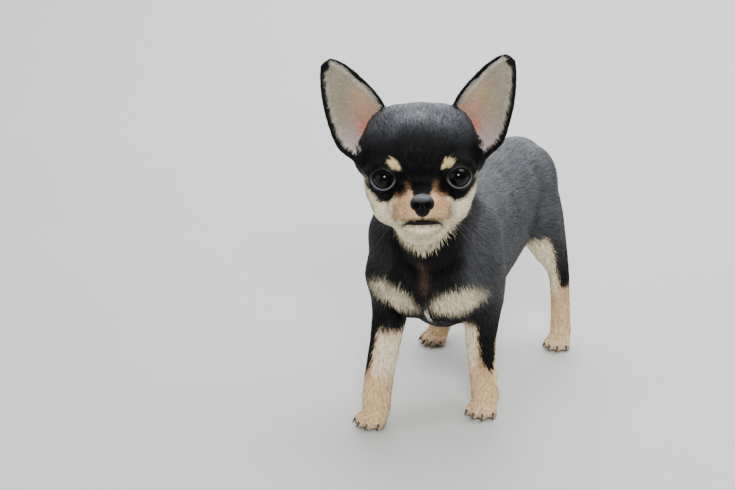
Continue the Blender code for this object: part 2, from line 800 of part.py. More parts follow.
def main():
    for obj in list(bpy.data.objects):
        bpy.data.objects.remove(obj)
    nodes = bpy.data.collections.new(OBJECT_NAME)
    cutters = bpy.data.collections.new("cutters")
    for collection in (nodes, cutters):
        bpy.context.scene.collection.children.link(collection)
    matrix = head_matrix()
    forms = bmesh.new()
    add_torso(forms)
    add_neck(forms)
    add_skull(forms, matrix)
    add_upper_legs(forms)
    flesh = blended(bmesh_object("torso", forms, nodes), LARGE_VOXEL, LARGE_ROUNDS)
    forms = bmesh.new()
    forms.from_mesh(flesh.data)
    add_face(forms, matrix)
    add_lower_legs(forms)
    add_tail(forms)
    removed(flesh)
    flesh = blended(bmesh_object("torso", forms, nodes), FINE_VOXEL, FINE_ROUNDS)
    keep_largest(flesh)
    carve_mouth(flesh, matrix)
    decimated(flesh, FLESH_TRIANGLES, lambda point: 0.5 if head_side(point) > 0 else 1.0)
    flatten_soles(flesh, cutters)
    head = parted(
        flesh, "head",
        half_space("in", HEAD_CUT, GAP / 2, cutters),
        half_space("out", HEAD_CUT, -GAP / 2, cutters), nodes,
    )
    parted(
        flesh, "neck",
        half_space("in", NECK_CUT, GAP / 2, cutters),
        half_space("out", NECK_CUT, -GAP / 2, cutters), nodes,
    )
    for name, leg in LEGS.items():
        piece = parted(flesh, name, leg_region(leg, 0, cutters), leg_region(leg, GAP, cutters), nodes)
        add_claws(piece, leg, LEG_SCALES[name], cutters)
    inner = block("in", *TAIL_BLOCK, 0, cutters)
    parted(flesh, "tail", inner, block("out", *TAIL_BLOCK, GAP, cutters), nodes)
    for name, side in (("ear_left", 1), ("ear_right", -1)):
        make_ear(name, side, matrix, head, nodes, cutters)
    carve_eyes(head, matrix, cutters)
    make_nose_seat(head, matrix, cutters)
    keep_largest(head)
    for name, side in (("eye_left", 1), ("eye_right", -1)):
        make_eye(name, matrix, side, nodes, cutters)
    make_nose(matrix, nodes, cutters)
    bpy.data.collections.remove(cutters)
    scale_and_centre(nodes)
    for obj in nodes.objects:
        give_material(obj)


main()
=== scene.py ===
"""The looks of the chihuahua: one skin with a short coat over it, eyes, lids, nose and claws.

Shapes are drawn in millimetres in the dog's own frame (nose towards -Y, left side +X) and
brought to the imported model's frame by TO_ROW. The skin repeats the forms of the solids at a
finer grain and lies inside them by the depth of the coat.
"""

import math

import bmesh
import bpy
import numpy as np
from mathutils import Matrix, Vector
from mathutils.bvhtree import BVHTree
from mathutils.kdtree import KDTree


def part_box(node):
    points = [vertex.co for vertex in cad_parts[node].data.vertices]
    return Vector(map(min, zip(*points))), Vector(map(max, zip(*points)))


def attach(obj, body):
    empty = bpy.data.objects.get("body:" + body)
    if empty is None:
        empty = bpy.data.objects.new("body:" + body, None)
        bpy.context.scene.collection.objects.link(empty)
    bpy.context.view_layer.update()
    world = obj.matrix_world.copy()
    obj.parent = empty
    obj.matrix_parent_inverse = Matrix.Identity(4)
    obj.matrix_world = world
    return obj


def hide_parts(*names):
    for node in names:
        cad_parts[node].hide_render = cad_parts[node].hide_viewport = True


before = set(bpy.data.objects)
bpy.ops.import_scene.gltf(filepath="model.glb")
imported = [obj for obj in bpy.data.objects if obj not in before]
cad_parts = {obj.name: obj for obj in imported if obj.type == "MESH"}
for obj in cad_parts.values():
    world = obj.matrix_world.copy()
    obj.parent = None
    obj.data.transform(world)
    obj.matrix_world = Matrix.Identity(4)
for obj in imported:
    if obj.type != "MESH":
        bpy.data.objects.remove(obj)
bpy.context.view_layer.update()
RANDOM = np.random.default_rng(7)
MM = 0.001
SIDES = (-1, 1)
SIDE_WORDS = {-1: "right", 1: "left"}
MIDDLE_X = 2

# Blending of the skin
LARGE_VOXEL = 1.5
LARGE_ROUNDS = 12
SKIN_VOXEL = 0.72
SKIN_ROUNDS = 6
EAR_ROUNDS = 3
SOFTENING = 0.6
RING_POINTS = 24
FLOOR_GAP = 0.1

# The coat
TUFTS = 139000
COAT_DEPTH = 0.6
EAR_FRONT_DEPTH = 0.1
EAR_BACK_DEPTH = 0.35
ROOT_DEPTH = 0.15
SKIN_SHADE = 0.8
PATCH = 0.003
FACE_MINGLING = 0.4
BODY_MINGLING = 0.7
ROUNDING = 0.45
UNEVENNESS = 0.2
RIDGE_SHARE = 0.28
ROOT_NARROWING = 0.75
MIDDLE_SHARE = 0.45
MIDDLE_LIFT = 0.62
TURN_SPREAD = 0.1
LENGTH_SPREAD = 0.18
LIFT_SPREAD = 0.22
SHINE_SPREAD = 0.14
TUFT_FLOOR_GAP = 0.3

# Where the head is, and how it is turned
EYES_MIDDLE = Vector((7.4, -60, 163.3))
HEAD_YAW = math.radians(26)
HEAD_PITCH = math.radians(13)
HEAD_ROLL = math.radians(-1.5)

# Head sizes, in the head's own frame: origin between the eyes, nose towards -Y
EYE_X = 20.5
EYE_RADIUS = 8.2
EYE_OUTWARD = math.radians(13)
EYE_DOWN = math.radians(2)
EYE_REACH = 13
FOLD_REACH = 17
IRIS_RADIUS = 5.6
PUPIL_RADIUS = 4.2
CORNEA_RADIUS = 6.3
CORNEA_FORWARD = 2.6
LID_THICKNESS = 1.3
LID_HALF_WIDTH = 7.0
LID_HALF_HEIGHT = 6.0
RIM_LIFT = 0.25
LID_LIFT = 0.42
NOSE_CENTRE = Vector((0, -25.0, -12.1))
NOSE_HALF_WIDTH = 6.9
NOSE_BARE = (7.0, 5.4, 5.8)
MOUTH_Z = -21.0
MOUTH_FRONT_Y = -24
MOUTH_CORNER_Y = -3
MOUTH_DROP = 6.6
EAR_THICKNESS = 1.6

# Cuts that part the coat: a point of the plane and the way it faces
HEAD_CUT = (Vector((0, -27, 141)), Vector((0.16, -0.45, 0.88)).normalized())
NECK_CUT = (Vector((2, -24, 117)), Vector((0.0, -0.52, 0.85)).normalized())
FACE_Y = 9
RUMP_Y = 34
TAIL_Y = 108.3
# How far from its middle line and how high a leg's own piece of coat reaches
LEG_COAT = {"fore": (24, 62), "hind": (27, 66)}

# The photo's camera, in the dog's frame
CAMERA_AZIMUTH = math.radians(26)
CAMERA_ELEVATION = math.radians(23)
CAMERA_DISTANCE = 1750
CAMERA_FOCAL = 3070
IMAGE_WIDTH = 735
IMAGE_HEIGHT = 490
SENSOR_WIDTH = 36
TARGET = Vector((8, -62, 163))
TARGET_PIXEL = (420.5, 178.5)

# Colours as display values
INK = (8, 8, 9)
SOOT = (20, 19, 20)
# Grey laid on the tips of dark hair on the crown and back is painted sheen: light from above caught
# on the hair.
SHEEN_GREY = (142, 145, 154)
# The grey of the body is partly the coat's own dusky colour and partly painted sheen, lighter on
# top with painted shade towards the belly.
DUSK_AND_SHEEN_GREY = (86, 86, 90)
UMBER = (74, 58, 46)
RUST = (166, 122, 84)
TAN = (214, 178, 134)
PAW_TAN = (222, 196, 164)
CREAM = (233, 217, 184)
IVORY = (238, 230, 214)
BROW_GOLD = (228, 203, 146)
FRECKLE = (120, 80, 52)
FOLD_SHADOW_BROWN = (112, 84, 60)
LIP_DARK = (24, 19, 19)
CLEFT_DARK = (48, 36, 34)
EAR_GREY = (158, 147, 126)
EAR_SHADE = (142, 133, 112)
EAR_FAWN = (206, 172, 136)
EAR_PINK = (214, 150, 126)
EAR_FLUSH = (214, 132, 106)
EAR_MAUVE = (186, 166, 160)
EAR_HAIR = (206, 200, 190)
EYE_EDGE = (18, 13, 12)
IRIS_BROWN = (12, 8, 6)
PUPIL_BLACK = (5, 4, 4)
LID_BLACK = (18, 17, 18)
LID_WET_GLINT = (88, 87, 92)
NOSE_BLACK = (7, 7, 8)
NOSE_TOP_HIGHLIGHT = (98, 98, 104)
NOSTRIL_BLACK = (6, 5, 5)
CLAW_HORN = (52, 44, 40)
WHISKER_GREY = (120, 116, 110)

# Markings as turned ellipses: middle, half sizes, turn, softness of the edge
ROSY_MARK = ((10, -10), (4.5, 7), 0.5, 0.5)
FRECKLED_PAD = ((12.5, -16.5), (4.5, 3.5), 0.3, 0.6)
EYE_RIM = ((21.0, -1.5), (10.0, 9.8), 0.0, 0.12)
TEARDROP = ((20.4, -7.4), (6.3, 6.0), -0.2, 0.16)
INNER_CORNER = ((12.5, -4.5), (4.2, 3.6), 0.6, 0.3)
BROW_SPOT = ((15.3, 8.2), (3.5, 2.4), 0.5, 0.28)
BROW_POINT = ((12.8, 6.3), (1.8, 1.4), 1.0, 0.3)
THROAT_MARK = ((-2, 137), (19, 20), 0.0, 0.16)
ROSETTES = (((-16.5, 80), (14.5, 7.6), -0.3, 0.4), ((20.5, 81.5), (12.5, 7.6), 0.3, 0.4))
CHEST_FLECK = ((4.0, 70.5), (1.6, 5.6), 0.0, 0.4)
WRIST_BROWN = ((34, 32), (30, 6), 0.0, 0.5)
EAR_MAUVE_MARK = ((0.8, 0.2), (0.3, 0.2), 0.0, 0.6)
EAR_PINK_MARK = ((0.36, 0.26), (0.28, 0.2), 0.4, 0.7)
EAR_FLUSH_MARK = ((0.46, 0.16), (0.17, 0.1), 0.4, 0.6)
NOSTRIL = ((3.3, 0.1), (1.25, 1.55), 0.5, 0.35)
# Heights on the tail, and where its pale underside ends at each
TAIL_UNDERSIDE = ((63.5, 87, 98, 108, 114), (117.6, 119.5, 118.5, 115.5, 110))


# Frames


def row_shift():
    """From the dog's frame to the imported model's, in millimetres, found from the eyes."""
    boxes = [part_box("eye_left"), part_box("eye_right")]
    centre_x = sum(low.x + high.x for low, high in boxes) / 4 / MM
    centre_z = sum(low.z + high.z for low, high in boxes) / 4 / MM
    back_y = sum(high.y for _, high in boxes) / 2 / MM
    return Vector((centre_x, back_y - EYE_RADIUS, centre_z)) - EYES_MIDDLE


SHIFT = row_shift()
TO_ROW = Matrix.Scale(MM, 4) @ Matrix.Translation(SHIFT)


def head_matrix():
    turn = Matrix.Rotation(HEAD_YAW, 4, "Z") @ Matrix.Rotation(-HEAD_PITCH, 4, "X")
    return Matrix.Translation(EYES_MIDDLE) @ turn @ Matrix.Rotation(HEAD_ROLL, 4, "Y")


HEAD = head_matrix()
HEAD_BACK = HEAD.inverted()


def eye_matrix(side):
    turn = Matrix.Rotation(side * EYE_OUTWARD, 4, "Z") @ Matrix.Rotation(EYE_DOWN, 4, "X")
    return HEAD @ Matrix.Translation((side * EYE_X, 0, 0)) @ turn


def moved(points, matrix):
    """Points (N x 3) through a 4 x 4 matrix."""
    grid = np.array(matrix)
    return points @ grid[:3, :3].T + grid[:3, 3]


def turned(vectors, matrix):
    return vectors @ np.array(matrix)[:3, :3].T


def beyond(points, cut):
    """Distance past the plane of a cut."""
    return (points - np.array(cut[0])) @ np.array(cut[1])


# Soft masks, from 0 to 1


def smooth_step(value):
    value = np.clip(value, 0.0, 1.0)
    return value * value * (3 - 2 * value)


def over(value, level, width):
    """Grows from 0 at the level to 1 where the value is more by the width."""
    return smooth_step((value - level) / width)


def under(value, level, width):
    """Grows from 0 at the level to 1 where the value is less by the width."""
    return smooth_step((level - value) / width)


def stroke(value, middle, width):
    """1 on a line, fading on both sides over about the width."""
    return np.exp(-(((value - middle) / width) ** 2))


def oval(u, v, centre, radii, turn, edge):
    """1 inside a turned ellipse, fading over a share of its size."""
    du, dv = u - centre[0], v - centre[1]
    cosine, sine = math.cos(turn), math.sin(turn)
    first = (du * cosine + dv * sine) / radii[0]
    second = (-du * sine + dv * cosine) / radii[1]
    return 1 - smooth_step((np.hypot(first, second) - 1 + edge) / (2 * edge))


def mixed(first, second, share):
    """From first to second as each point's share goes from 0 to 1."""
    share = share[:, None]
    return first * (1 - share) + second * share


def rows(*columns):
    """One row a point, from columns that are arrays or single numbers."""
    return np.stack(np.broadcast_arrays(*columns), axis=1)


def unit(vectors):
    return vectors / np.maximum(np.linalg.norm(vectors, axis=1), 1e-9)[:, None]


# Making objects


def new_object(name, mesh):
    made = bpy.data.objects.new(name, mesh)
    bpy.context.scene.collection.objects.link(made)
    return made


def bmesh_object(name, shape, triangles=True):
    if triangles:
        bmesh.ops.triangulate(shape, faces=shape.faces)
    mesh = bpy.data.meshes.new(name)
    shape.to_mesh(mesh)
    shape.free()
    return new_object(name, mesh)


def applied(obj):
    """The object with its modifiers turned into plain mesh."""
    graph = bpy.context.evaluated_depsgraph_get()
    graph.update()
    mesh = bpy.data.meshes.new_from_object(obj.evaluated_get(graph))
    obj.modifiers.clear()
    old = obj.data
    obj.data = mesh
    bpy.data.meshes.remove(old)
    return obj


def add_and_remove(shape, obj):
    """Copies an object's mesh into a bmesh and removes the object."""
    mesh = obj.data
    shape.from_mesh(mesh)
    bpy.data.objects.remove(obj)
    bpy.data.meshes.remove(mesh)


def reopened(obj):
    """The shape of an object as a new bmesh, with the object removed."""
    shape = bmesh.new()
    add_and_remove(shape, obj)
    return shape


def blended(obj, voxel, rounds):
    """Melts overlapping forms into one surface and softens it."""
    melt = obj.modifiers.new("melt", "REMESH")
    melt.mode = "VOXEL"
    melt.voxel_size = voxel
    soften = obj.modifiers.new("soften", "SMOOTH")
    soften.factor = SOFTENING
    soften.iterations = rounds
    return applied(obj)


def coordinates(mesh):
    values = np.empty(len(mesh.vertices) * 3)
    mesh.vertices.foreach_get("co", values)
    return values.reshape(-1, 3)


def vertex_normals(mesh):
    values = np.empty(len(mesh.vertices) * 3, dtype=np.float32)
    mesh.vertex_normals.foreach_get("vector", values)
    return values.reshape(-1, 3).astype(float)


def set_coordinates(mesh, points):
    mesh.vertices.foreach_set("co", np.ascontiguousarray(points, dtype=np.float32).ravel())
    mesh.update()


def paint(mesh, colours):
    """Stores one linear colour a vertex, which the materials read."""
    layer = mesh.color_attributes.new("coat_colour", "FLOAT_COLOR", "POINT")
    full = np.ones((len(mesh.vertices), 4), dtype=np.float32)
    full[:, :3] = colours
    layer.data.foreach_set("color", full.ravel())


def plain(display, count):
    """The same colour for each of so many points."""
    return np.tile(linear(display), (count, 1))


def finished(obj, slot, *replaced):
    obj.data.transform(TO_ROW)
    obj.data.update()
    obj.data.shade_smooth()
    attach(obj, "root")
    if replaced:
        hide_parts(*replaced)


def dressed(obj, colours, material, slot, *replaced):
    """Paints a piece and gives it its material before it is finished."""
    paint(obj.data, colours)
    obj.data.materials.append(material)
    finished(obj, slot, *replaced)


def new_ring(shape, middle, across, deep, halves, count, place=Matrix.Identity(4)):
    """Vertices on an ellipse with the given directions and half sizes."""
    ring = []
    for step in range(count):
        angle = 2 * math.pi * step / count
        point = middle + across * (halves[0] * math.cos(angle))
        point = point + deep * (halves[1] * math.sin(angle))
        ring.append(shape.verts.new(place @ point))
    return ring


def join_rings(shape, rings, closed=False):
    """Faces between neighbouring rings, joined end to end or with a cap at each end."""
    followers = rings[1:] + rings[:1] if closed else rings[1:]
    for first, second in zip(rings, followers):
        for step in range(len(first)):
            after = (step + 1) % len(first)
            shape.faces.new((first[step], first[after], second[after], second[step]))
    if not closed:
        shape.faces.new(list(reversed(rings[0])))
        shape.faces.new(rings[-1])


# The forms of the flesh, as in the solids


def blob(flesh, centre, radii, matrix=Matrix.Identity(4), turn=Matrix.Identity(4), segments=32):
    """An ellipsoid, built apart so that a large shape isn't searched for each one."""
    stretch = Matrix.Diagonal((*radii, 1))
    place = matrix @ (Matrix.Translation(Vector(centre)) @ turn @ stretch)
    ball = bmesh.new()
    bmesh.ops.create_uvsphere(
        ball, u_segments=segments, v_segments=segments // 2, radius=1, matrix=place,
    )
    mesh = bpy.data.meshes.new("ball")
    ball.to_mesh(mesh)
    ball.free()
    flesh.from_mesh(mesh)
    bpy.data.meshes.remove(mesh)


def tube(flesh, stations, matrix=Matrix.Identity(4)):
    """A closed loft through stations (x, y, z, half width, half depth), width along X."""
    side = Vector((1, 0, 0))
    centres = [Vector(station[:3]) for station in stations]
    rings = []
    for index, station in enumerate(stations):
        before = centres[max(index - 1, 0)]
        after = centres[min(index + 1, len(centres) - 1)]
        along = (after - before).normalized()
        across = (side - along * side.dot(along)).normalized()
        deep = along.cross(across)
        rings.append(
            new_ring(flesh, centres[index], across, deep, station[3:], RING_POINTS, matrix)
        )
    join_rings(flesh, rings)


def mirrored_pair(flesh, centre, radii, turn_y=0.0):
    for side in SIDES:
        spot = (side * centre[0], centre[1], centre[2])
        blob(flesh, spot, radii, HEAD, Matrix.Rotation(side * turn_y, 4, "Y"))


def add_torso(flesh):
    tube(flesh, (
        (2, -44, 93, 10, 14),
        (2, -38, 91, 20, 26),
        (2, -28, 91, 28, 38),
        (2, -12, 93, 31, 43),
        (2, 8, 94, 31, 42),
        (2, 28, 96.5, 30, 38.5),
        (2, 48, 99.5, 28.5, 35.5),
        (2, 66, 103.5, 27, 33),
        (2, 82, 107, 26, 30.5),
        (2, 95, 106, 22, 27),
        (2, 103, 103, 14, 19),
        (2, 107, 101, 7, 10),
    ))
    blob(flesh, (2, -8, 118), (22, 24, 19))
    blob(flesh, (2, 50, 111), (19, 44, 25))
    for side in SIDES:
        blob(flesh, (MIDDLE_X + side * 12, 84, 106), (17, 23, 27))
        blob(flesh, (MIDDLE_X + side * 18, -18 + side * 4, 110), (17, 21, 24))
        blob(flesh, (MIDDLE_X + side * 14, -30 + side * 2, 84), (15, 15, 24))


def add_neck(flesh):
    tube(flesh, (
        (2, -4, 102, 25, 26),
        (2, -15, 115, 26, 27),
        (1, -25, 129, 25, 25),
        (0, -32, 143, 24, 24),
        (-1, -36, 156, 23, 23),
    ))
    blob(flesh, (-24, -26, 108), (17, 18, 24))
    blob(flesh, (1, -14, 133), (19, 18, 19))
    blob(flesh, (3, -38, 118), (19, 15, 24))


def add_skull(flesh):
    """The dome, brows, cheeks, jaw and the root of the muzzle."""
    blob(flesh, (0, 24, 8.5), (33.5, 34, 31.5), HEAD)
    mirrored_pair(flesh, (11, 19, 16.5), (22, 24, 23.5))
    blob(flesh, (0, 8, 13), (26, 19.5, 23), HEAD)
    mirrored_pair(flesh, (17, 23, 21.5), (12.5, 17, 14.5))
    mirrored_pair(flesh, (28.2, 23, 9), (10.8, 15, 12.5))
    mirrored_pair(flesh, (25, 37.5, 21), (10, 9, 13))
    mirrored_pair(flesh, (18.5, 4, 6), (12.5, 10.5, 9.5))
    mirrored_pair(flesh, (22.2, 9, 0), (11.2, 12, 13))
    mirrored_pair(flesh, (19.8, 15, -7), (12.8, 20, 15))
    mirrored_pair(flesh, (15.5, 11, -18), (13.5, 19, 12))
    blob(flesh, (0, 14, -21), (20, 21, 15), HEAD)
    blob(flesh, (0, 6, -29), (16, 14, 12), HEAD)
    tube(flesh, (
        (0, 10, -12, 20, 13),
        (0, -2, -13, 18.8, 11.8),
        (0, -11, -13.6, 15.8, 10.4),
        (0, -18.5, -14.2, 12.6, 9),
    ), HEAD)


def add_face(flesh):
    """The muzzle, upper lips, chin and the bulge of each eye."""
    tube(flesh, (
        (0, 0, -12, 17, 11.4),
        (0, -11, -13.6, 15, 9.8),
        (0, -18, -14.2, 12.6, 8.8),
        (0, -23.3, -14.8, 9.8, 7.6),
        (0, -26.2, -15.2, 6, 5.5),
    ), HEAD)
    mirrored_pair(flesh, (7.2, -14, -16.8), (8, 10.5, 6.8), 0.2)
    mirrored_pair(flesh, (11, -5, -15.5), (8.5, 11, 8.6))
    tube(flesh, (
        (0, 8, -25, 16, 9),
        (0, -4, -25.4, 13.5, 7.4),
        (0, -11, -25.4, 11.4, 6.6),
        (0, -16.5, -25.2, 9.2, 6),
        (0, -19.8, -24.8, 6, 4.8),
    ), HEAD)
    for side in SIDES:
        blob(flesh, (0, 0, 0), [EYE_RADIUS + LID_THICKNESS] * 3, eye_matrix(side))


TAIL = (
    (2, 94, 117, 8, 8),
    (2.2, 103, 116.5, 7.2, 7.2),
    (2.6, 110, 114.5, 6.2, 6.2),
    (3.4, 115.5, 108, 5.6, 5.6),
    (5, 118.5, 98, 5, 5),
    (7.5, 119.5, 87, 4.4, 4.4),
    (10.5, 119, 76, 3.8, 3.8),
    (13, 118, 67, 2.8, 2.8),
    (13.8, 117.6, 63.5, 1.4, 1.4),
)

LEGS = {
    "foreleg_left": {
        "paw": (30.5, -18, 0),
        "heading": math.radians(8),
        "scale": 1.02,
        "side": 1,
        "stripe": 52,
        "pale_top": 62,
        "stations": (
            (22, -2, 116, 9, 14),
            (27, -15, 102, 12, 17),
            (28.5, -15, 86, 12, 17.5),
            (25.8, -8, 70, 11, 15),
            (23.2, -6, 56, 10.2, 12),
            (22.8, -7, 41, 9.4, 9.8),
            (25.4, -9, 26, 8.8, 9),
            (29, -13, 14, 8.8, 8.6),
            (30.3, -16, 7, 8.6, 8.6),
        ),
    },
    "foreleg_right": {
        "paw": (-22, -59, 0),
        "heading": math.radians(-8),
        "scale": 1.02,
        "side": -1,
        "stripe": 46,
        "pale_top": 56,
        "stations": (
            (-20, -8, 116, 9, 14),
            (-27, -26, 102, 12, 17),
            (-29, -29.5, 86, 12, 17.5),
            (-28.7, -24.5, 70, 11, 15),
            (-27.5, -28, 56, 10.2, 12),
            (-26.3, -37, 41, 9.2, 9.8),
            (-25.5, -46, 26, 8.8, 9),
            (-24, -53, 14, 8.8, 8.6),
            (-22, -57, 7, 8.6, 8.6),
        ),
    },
    "hindleg_left": {
        "paw": (34, 90, 0),
        "heading": math.radians(5),
        "scale": 0.9,
        "side": 1,
        "stations": (
            (15, 84, 112, 14, 20),
            (21, 80, 97, 13, 24),
            (26, 78, 84, 12, 21),
            (28.5, 83, 72, 10, 15),
            (29.4, 89, 62, 8.2, 11),
            (29.9, 93.5, 53, 7, 8.8),
            (30.5, 96.5, 43, 6.4, 7.2),
            (31.2, 97, 29, 6.1, 6.4),
            (32.4, 95.5, 15, 6.4, 6.4),
            (34, 92.5, 7, 7, 7.4),
        ),
    },
    "hindleg_right": {
        "paw": (-38, 63, 0),
        "heading": math.radians(-5),
        "scale": 0.9,
        "side": -1,
        "stations": (
            (-11, 82, 112, 14, 20),
            (-17, 74, 97, 13, 24),
            (-22, 67, 84, 12, 21),
            (-25.5, 65, 72, 10, 15),
            (-29, 68.5, 62, 8.2, 11),
            (-32.2, 73, 53, 7, 8.8),
            (-35, 76.5, 43, 6.4, 7.2),
            (-36.4, 75.5, 29, 6.1, 6.4),
            (-37.4, 71, 15, 6.4, 6.4),
            (-38, 66.5, 7, 7, 7.4),
        ),
    },
}

UPPER_LEG_STATIONS = 7
LOWER_LEG_START = 3
TOE_SPREAD = 2.5


def paw_matrix(leg):
    turn = Matrix.Rotation(leg["heading"], 4, "Z") @ Matrix.Scale(leg["scale"], 4)
    return Matrix.Translation(Vector(leg["paw"])) @ turn


def toe_places():
    """Each toe's centre, half sizes and turn, in the paw's frame."""
    for side in SIDES:
        yield Vector((side * TOE_SPREAD, -8.2, 4.3)), Vector((2.7, 5.6, 4.5)), side * 0.04
        outer = Vector((side * TOE_SPREAD * 2.75, -4.6, 3.9))
        yield outer, Vector((2.6, 5.2, 4.1)), side * 0.22


def add_paw(flesh, leg):
    matrix = paw_matrix(leg)
    blob(flesh, (0, 0, 6), (8, 8.5, 6.4), matrix)
    blob(flesh, (0, 1, 2.4), (6, 6.5, 3.2), matrix)
    for centre, radii, turn in toe_places():
        blob(flesh, centre, radii, matrix, Matrix.Rotation(turn, 4, "Z"))


# Ears

EAR_INNER = (
    (16, 30), (19.5, 37.5), (24, 45.5), (30.8, 53.4), (38, 60.2), (44.7, 64.8), (50.6, 66.8),
)
EAR_OUTER = (
    (33, 4), (39.5, 10), (47, 16.5), (51.5, 28.5), (54.5, 40.5), (56, 53), (55.8, 63.4),
)
EAR_CUP = 10.5
EAR_ROLL = 7.0
EAR_ROOT_Y = 15
EAR_LEAN = 3.5
EAR_BOW = 3.0
EAR_ROWS = 44
EAR_COLUMNS = 28
EAR_WIDTH_STEPS = 20
EAR_REACH = 3.2
EAR_NEAR = (14, 5, 2)


def between(stations, part):
    """A point on a smooth curve through the stations, with part from 0 to 1."""
    spot = part * (len(stations) - 1)
    index = min(int(spot), len(stations) - 2)
    share = spot - index
    first = Vector(stations[index])
    second = Vector(stations[index + 1])
    before = Vector(stations[max(index - 1, 0)])
    after = Vector(stations[min(index + 2, len(stations) - 1)])
    start_weight = 2 * share ** 3 - 3 * share ** 2 + 1
    start_slope = share ** 3 - 2 * share ** 2 + share
    end_weight = -2 * share ** 3 + 3 * share ** 2
    end_slope = share ** 3 - share ** 2
    curve = first * start_weight + (second - before) * 0.5 * start_slope
    return curve + second * end_weight + (after - first) * 0.5 * end_slope


def ear_point(across, along):
    """The ear's front face in the head's frame: across runs from the inner edge to the outer."""
    flat = between(EAR_INNER, along).lerp(between(EAR_OUTER, along), across)
    hollow = math.sin(math.pi * across) ** 0.8
    depth = EAR_CUP * (1 - along) ** 1.3 + 2.2 * (1 - along)
    roll = EAR_ROLL * (1 - along) ** 2 * (across - 0.5)
    lean = EAR_ROOT_Y + EAR_LEAN * along - EAR_BOW * math.sin(math.pi * along)
    return Vector((flat.x, lean + depth * hollow - roll, flat.y))


def ear_sheet(side):
    """A thin cupped sheet with thickness, its root sunk in the skull."""
    sheet = bmesh.new()
    grid = []
    for row in range(EAR_ROWS + 1):
        line = []
        for column in range(EAR_COLUMNS + 1):
            point = ear_point(column / EAR_COLUMNS, row / EAR_ROWS)
            line.append(sheet.verts.new(HEAD @ Vector((side * point.x, point.y, point.z))))
        grid.append(line)
    for row in range(EAR_ROWS):
        for column in range(EAR_COLUMNS):
            corners = [grid[row][column], grid[row][column + 1]]
            corners += [grid[row + 1][column + 1], grid[row + 1][column]]
            sheet.faces.new(corners if side > 0 else list(reversed(corners)))
    ear = bmesh_object("ear", sheet, triangles=False)
    thick = ear.modifiers.new("thick", "SOLIDIFY")
    thick.thickness = EAR_THICKNESS
    thick.offset = -1
    thick.use_even_offset = True
    return applied(ear)


def ear_normal(across, along):
    """The way the ear's front face looks, in the head's frame."""
    step = 0.01
    sideways = ear_point(min(across + step, 1), along) - ear_point(max(across - step, 0), along)
    upwards = ear_point(across, min(along + step, 1)) - ear_point(across, max(along - step, 0))
    return sideways.cross(upwards).normalized()


def ear_tree():
    """The ear's front face as points to look up, each with its two shares and its normal."""
    tree = KDTree((EAR_ROWS + 1) * (EAR_COLUMNS + 1))
    shares = []
    normals = []
    for row in range(EAR_ROWS + 1):
        for column in range(EAR_COLUMNS + 1):
            across, along = column / EAR_COLUMNS, row / EAR_ROWS
            tree.insert(ear_point(across, along), len(shares))
            shares.append((across, along))
            normals.append(ear_normal(across, along))
    tree.balance()
    return tree, np.array(shares), normals


EAR_TREE, EAR_SHARES, EAR_NORMALS = ear_tree()
EAR_WIDTH_PLACES = np.linspace(0, 1, EAR_WIDTH_STEPS + 1)
EAR_WIDTHS = np.array([
    (between(EAR_OUTER, step / EAR_WIDTH_STEPS) - between(EAR_INNER, step / EAR_WIDTH_STEPS)).length
    for step in range(EAR_WIDTH_STEPS + 1)
])


def ear_edge(across, along):
    """Distance to the ear's nearer edge."""
    return np.minimum(across, 1 - across) * np.interp(along, EAR_WIDTH_PLACES, EAR_WIDTHS)


def ear_places(points):
    """For points in the dog's frame: whether on an ear, its shares, and whether on the front."""
    mirrored = moved(points, HEAD_BACK)
    mirrored[:, 0] = np.abs(mirrored[:, 0])
    count = len(points)
    on_ear = np.zeros(count, dtype=bool)
    across = np.zeros(count)
    along = np.zeros(count)
    front = np.zeros(count, dtype=bool)
    near = (mirrored > EAR_NEAR).all(axis=1)
    for index in np.nonzero(near)[0]:
        spot, number, distance = EAR_TREE.find(mirrored[index])
        if distance < EAR_REACH:
            on_ear[index] = True
            across[index], along[index] = EAR_SHARES[number]
            behind = (spot - Vector(mirrored[index])).dot(EAR_NORMALS[number])
            front[index] = behind < EAR_THICKNESS * 0.5
    return on_ear, across, along, front


# Mouth, lids and folds

LIP_GROOVE_DEPTH = 1.9
LIP_GROOVE_WIDTH = 0.75
LIP_ROLL = 0.45
LIP_ROLL_HEIGHT = 1.7
CLEFT_DEPTH = 0.75
CLEFT_WIDTH = 0.7
# Depth, whether over (1) or under (-1) the eye, share of the lids' width, and breadth
LID_CREASES = ((0.75, 1, 1.42, 0.09), (0.55, -1, 1.5, 0.11), (0.3, -1, 1.85, 0.12))


def lip_height(y):
    """Height of the line between the lips, which drops from the front to the corner."""
    part = np.clip((y - MOUTH_FRONT_Y) / (MOUTH_CORNER_Y - MOUTH_FRONT_Y), 0, None)
    return MOUTH_Z - MOUTH_DROP * part ** 1.1


def lip_band(spot, above, below):
    """1 near the line between the lips, for points in the head's frame."""
    x, y, z = spot.T
    away = z - lip_height(y)
    below = below * np.clip(1.1 - (x / 14.5) ** 2, 0.35, 1)
    band = under(away, above, 0.6) * over(away, -below, 0.8)
    return band * under(y, -2.5, 2) * (np.abs(x) < 17)


def carve_mouth(points, normals):
    """Presses the line of the lips and the cleft under the nose into the muzzle."""
    x, y, z = moved(points, HEAD_BACK).T
    near = (y < MOUTH_CORNER_Y + 4) & (np.abs(x) < 19) & (z > -33) & (z < -14)
    fade = 1 - over(y, MOUTH_CORNER_Y - 3, 6)
    away = z - lip_height(y)
    depth = LIP_GROOVE_DEPTH * stroke(away, 0, LIP_GROOVE_WIDTH) * fade
    # The upper lip rolls a little over the line
    depth -= LIP_ROLL * stroke(away, LIP_ROLL_HEIGHT, 1.0) * fade
    cleft = (y < -14) & (away > 0)
    depth += np.where(cleft, CLEFT_DEPTH * stroke(x, 0, CLEFT_WIDTH), 0)
    return points - normals * (depth * near)[:, None]


def lid_curve(angle):
    """The almond between the lids, as x and z in the eye's frame."""
    x = LID_HALF_WIDTH * np.cos(angle)
    z = LID_HALF_HEIGHT * np.sin(angle) * (1 - 0.2 * np.abs(np.cos(angle)) ** 3)
    return x, z


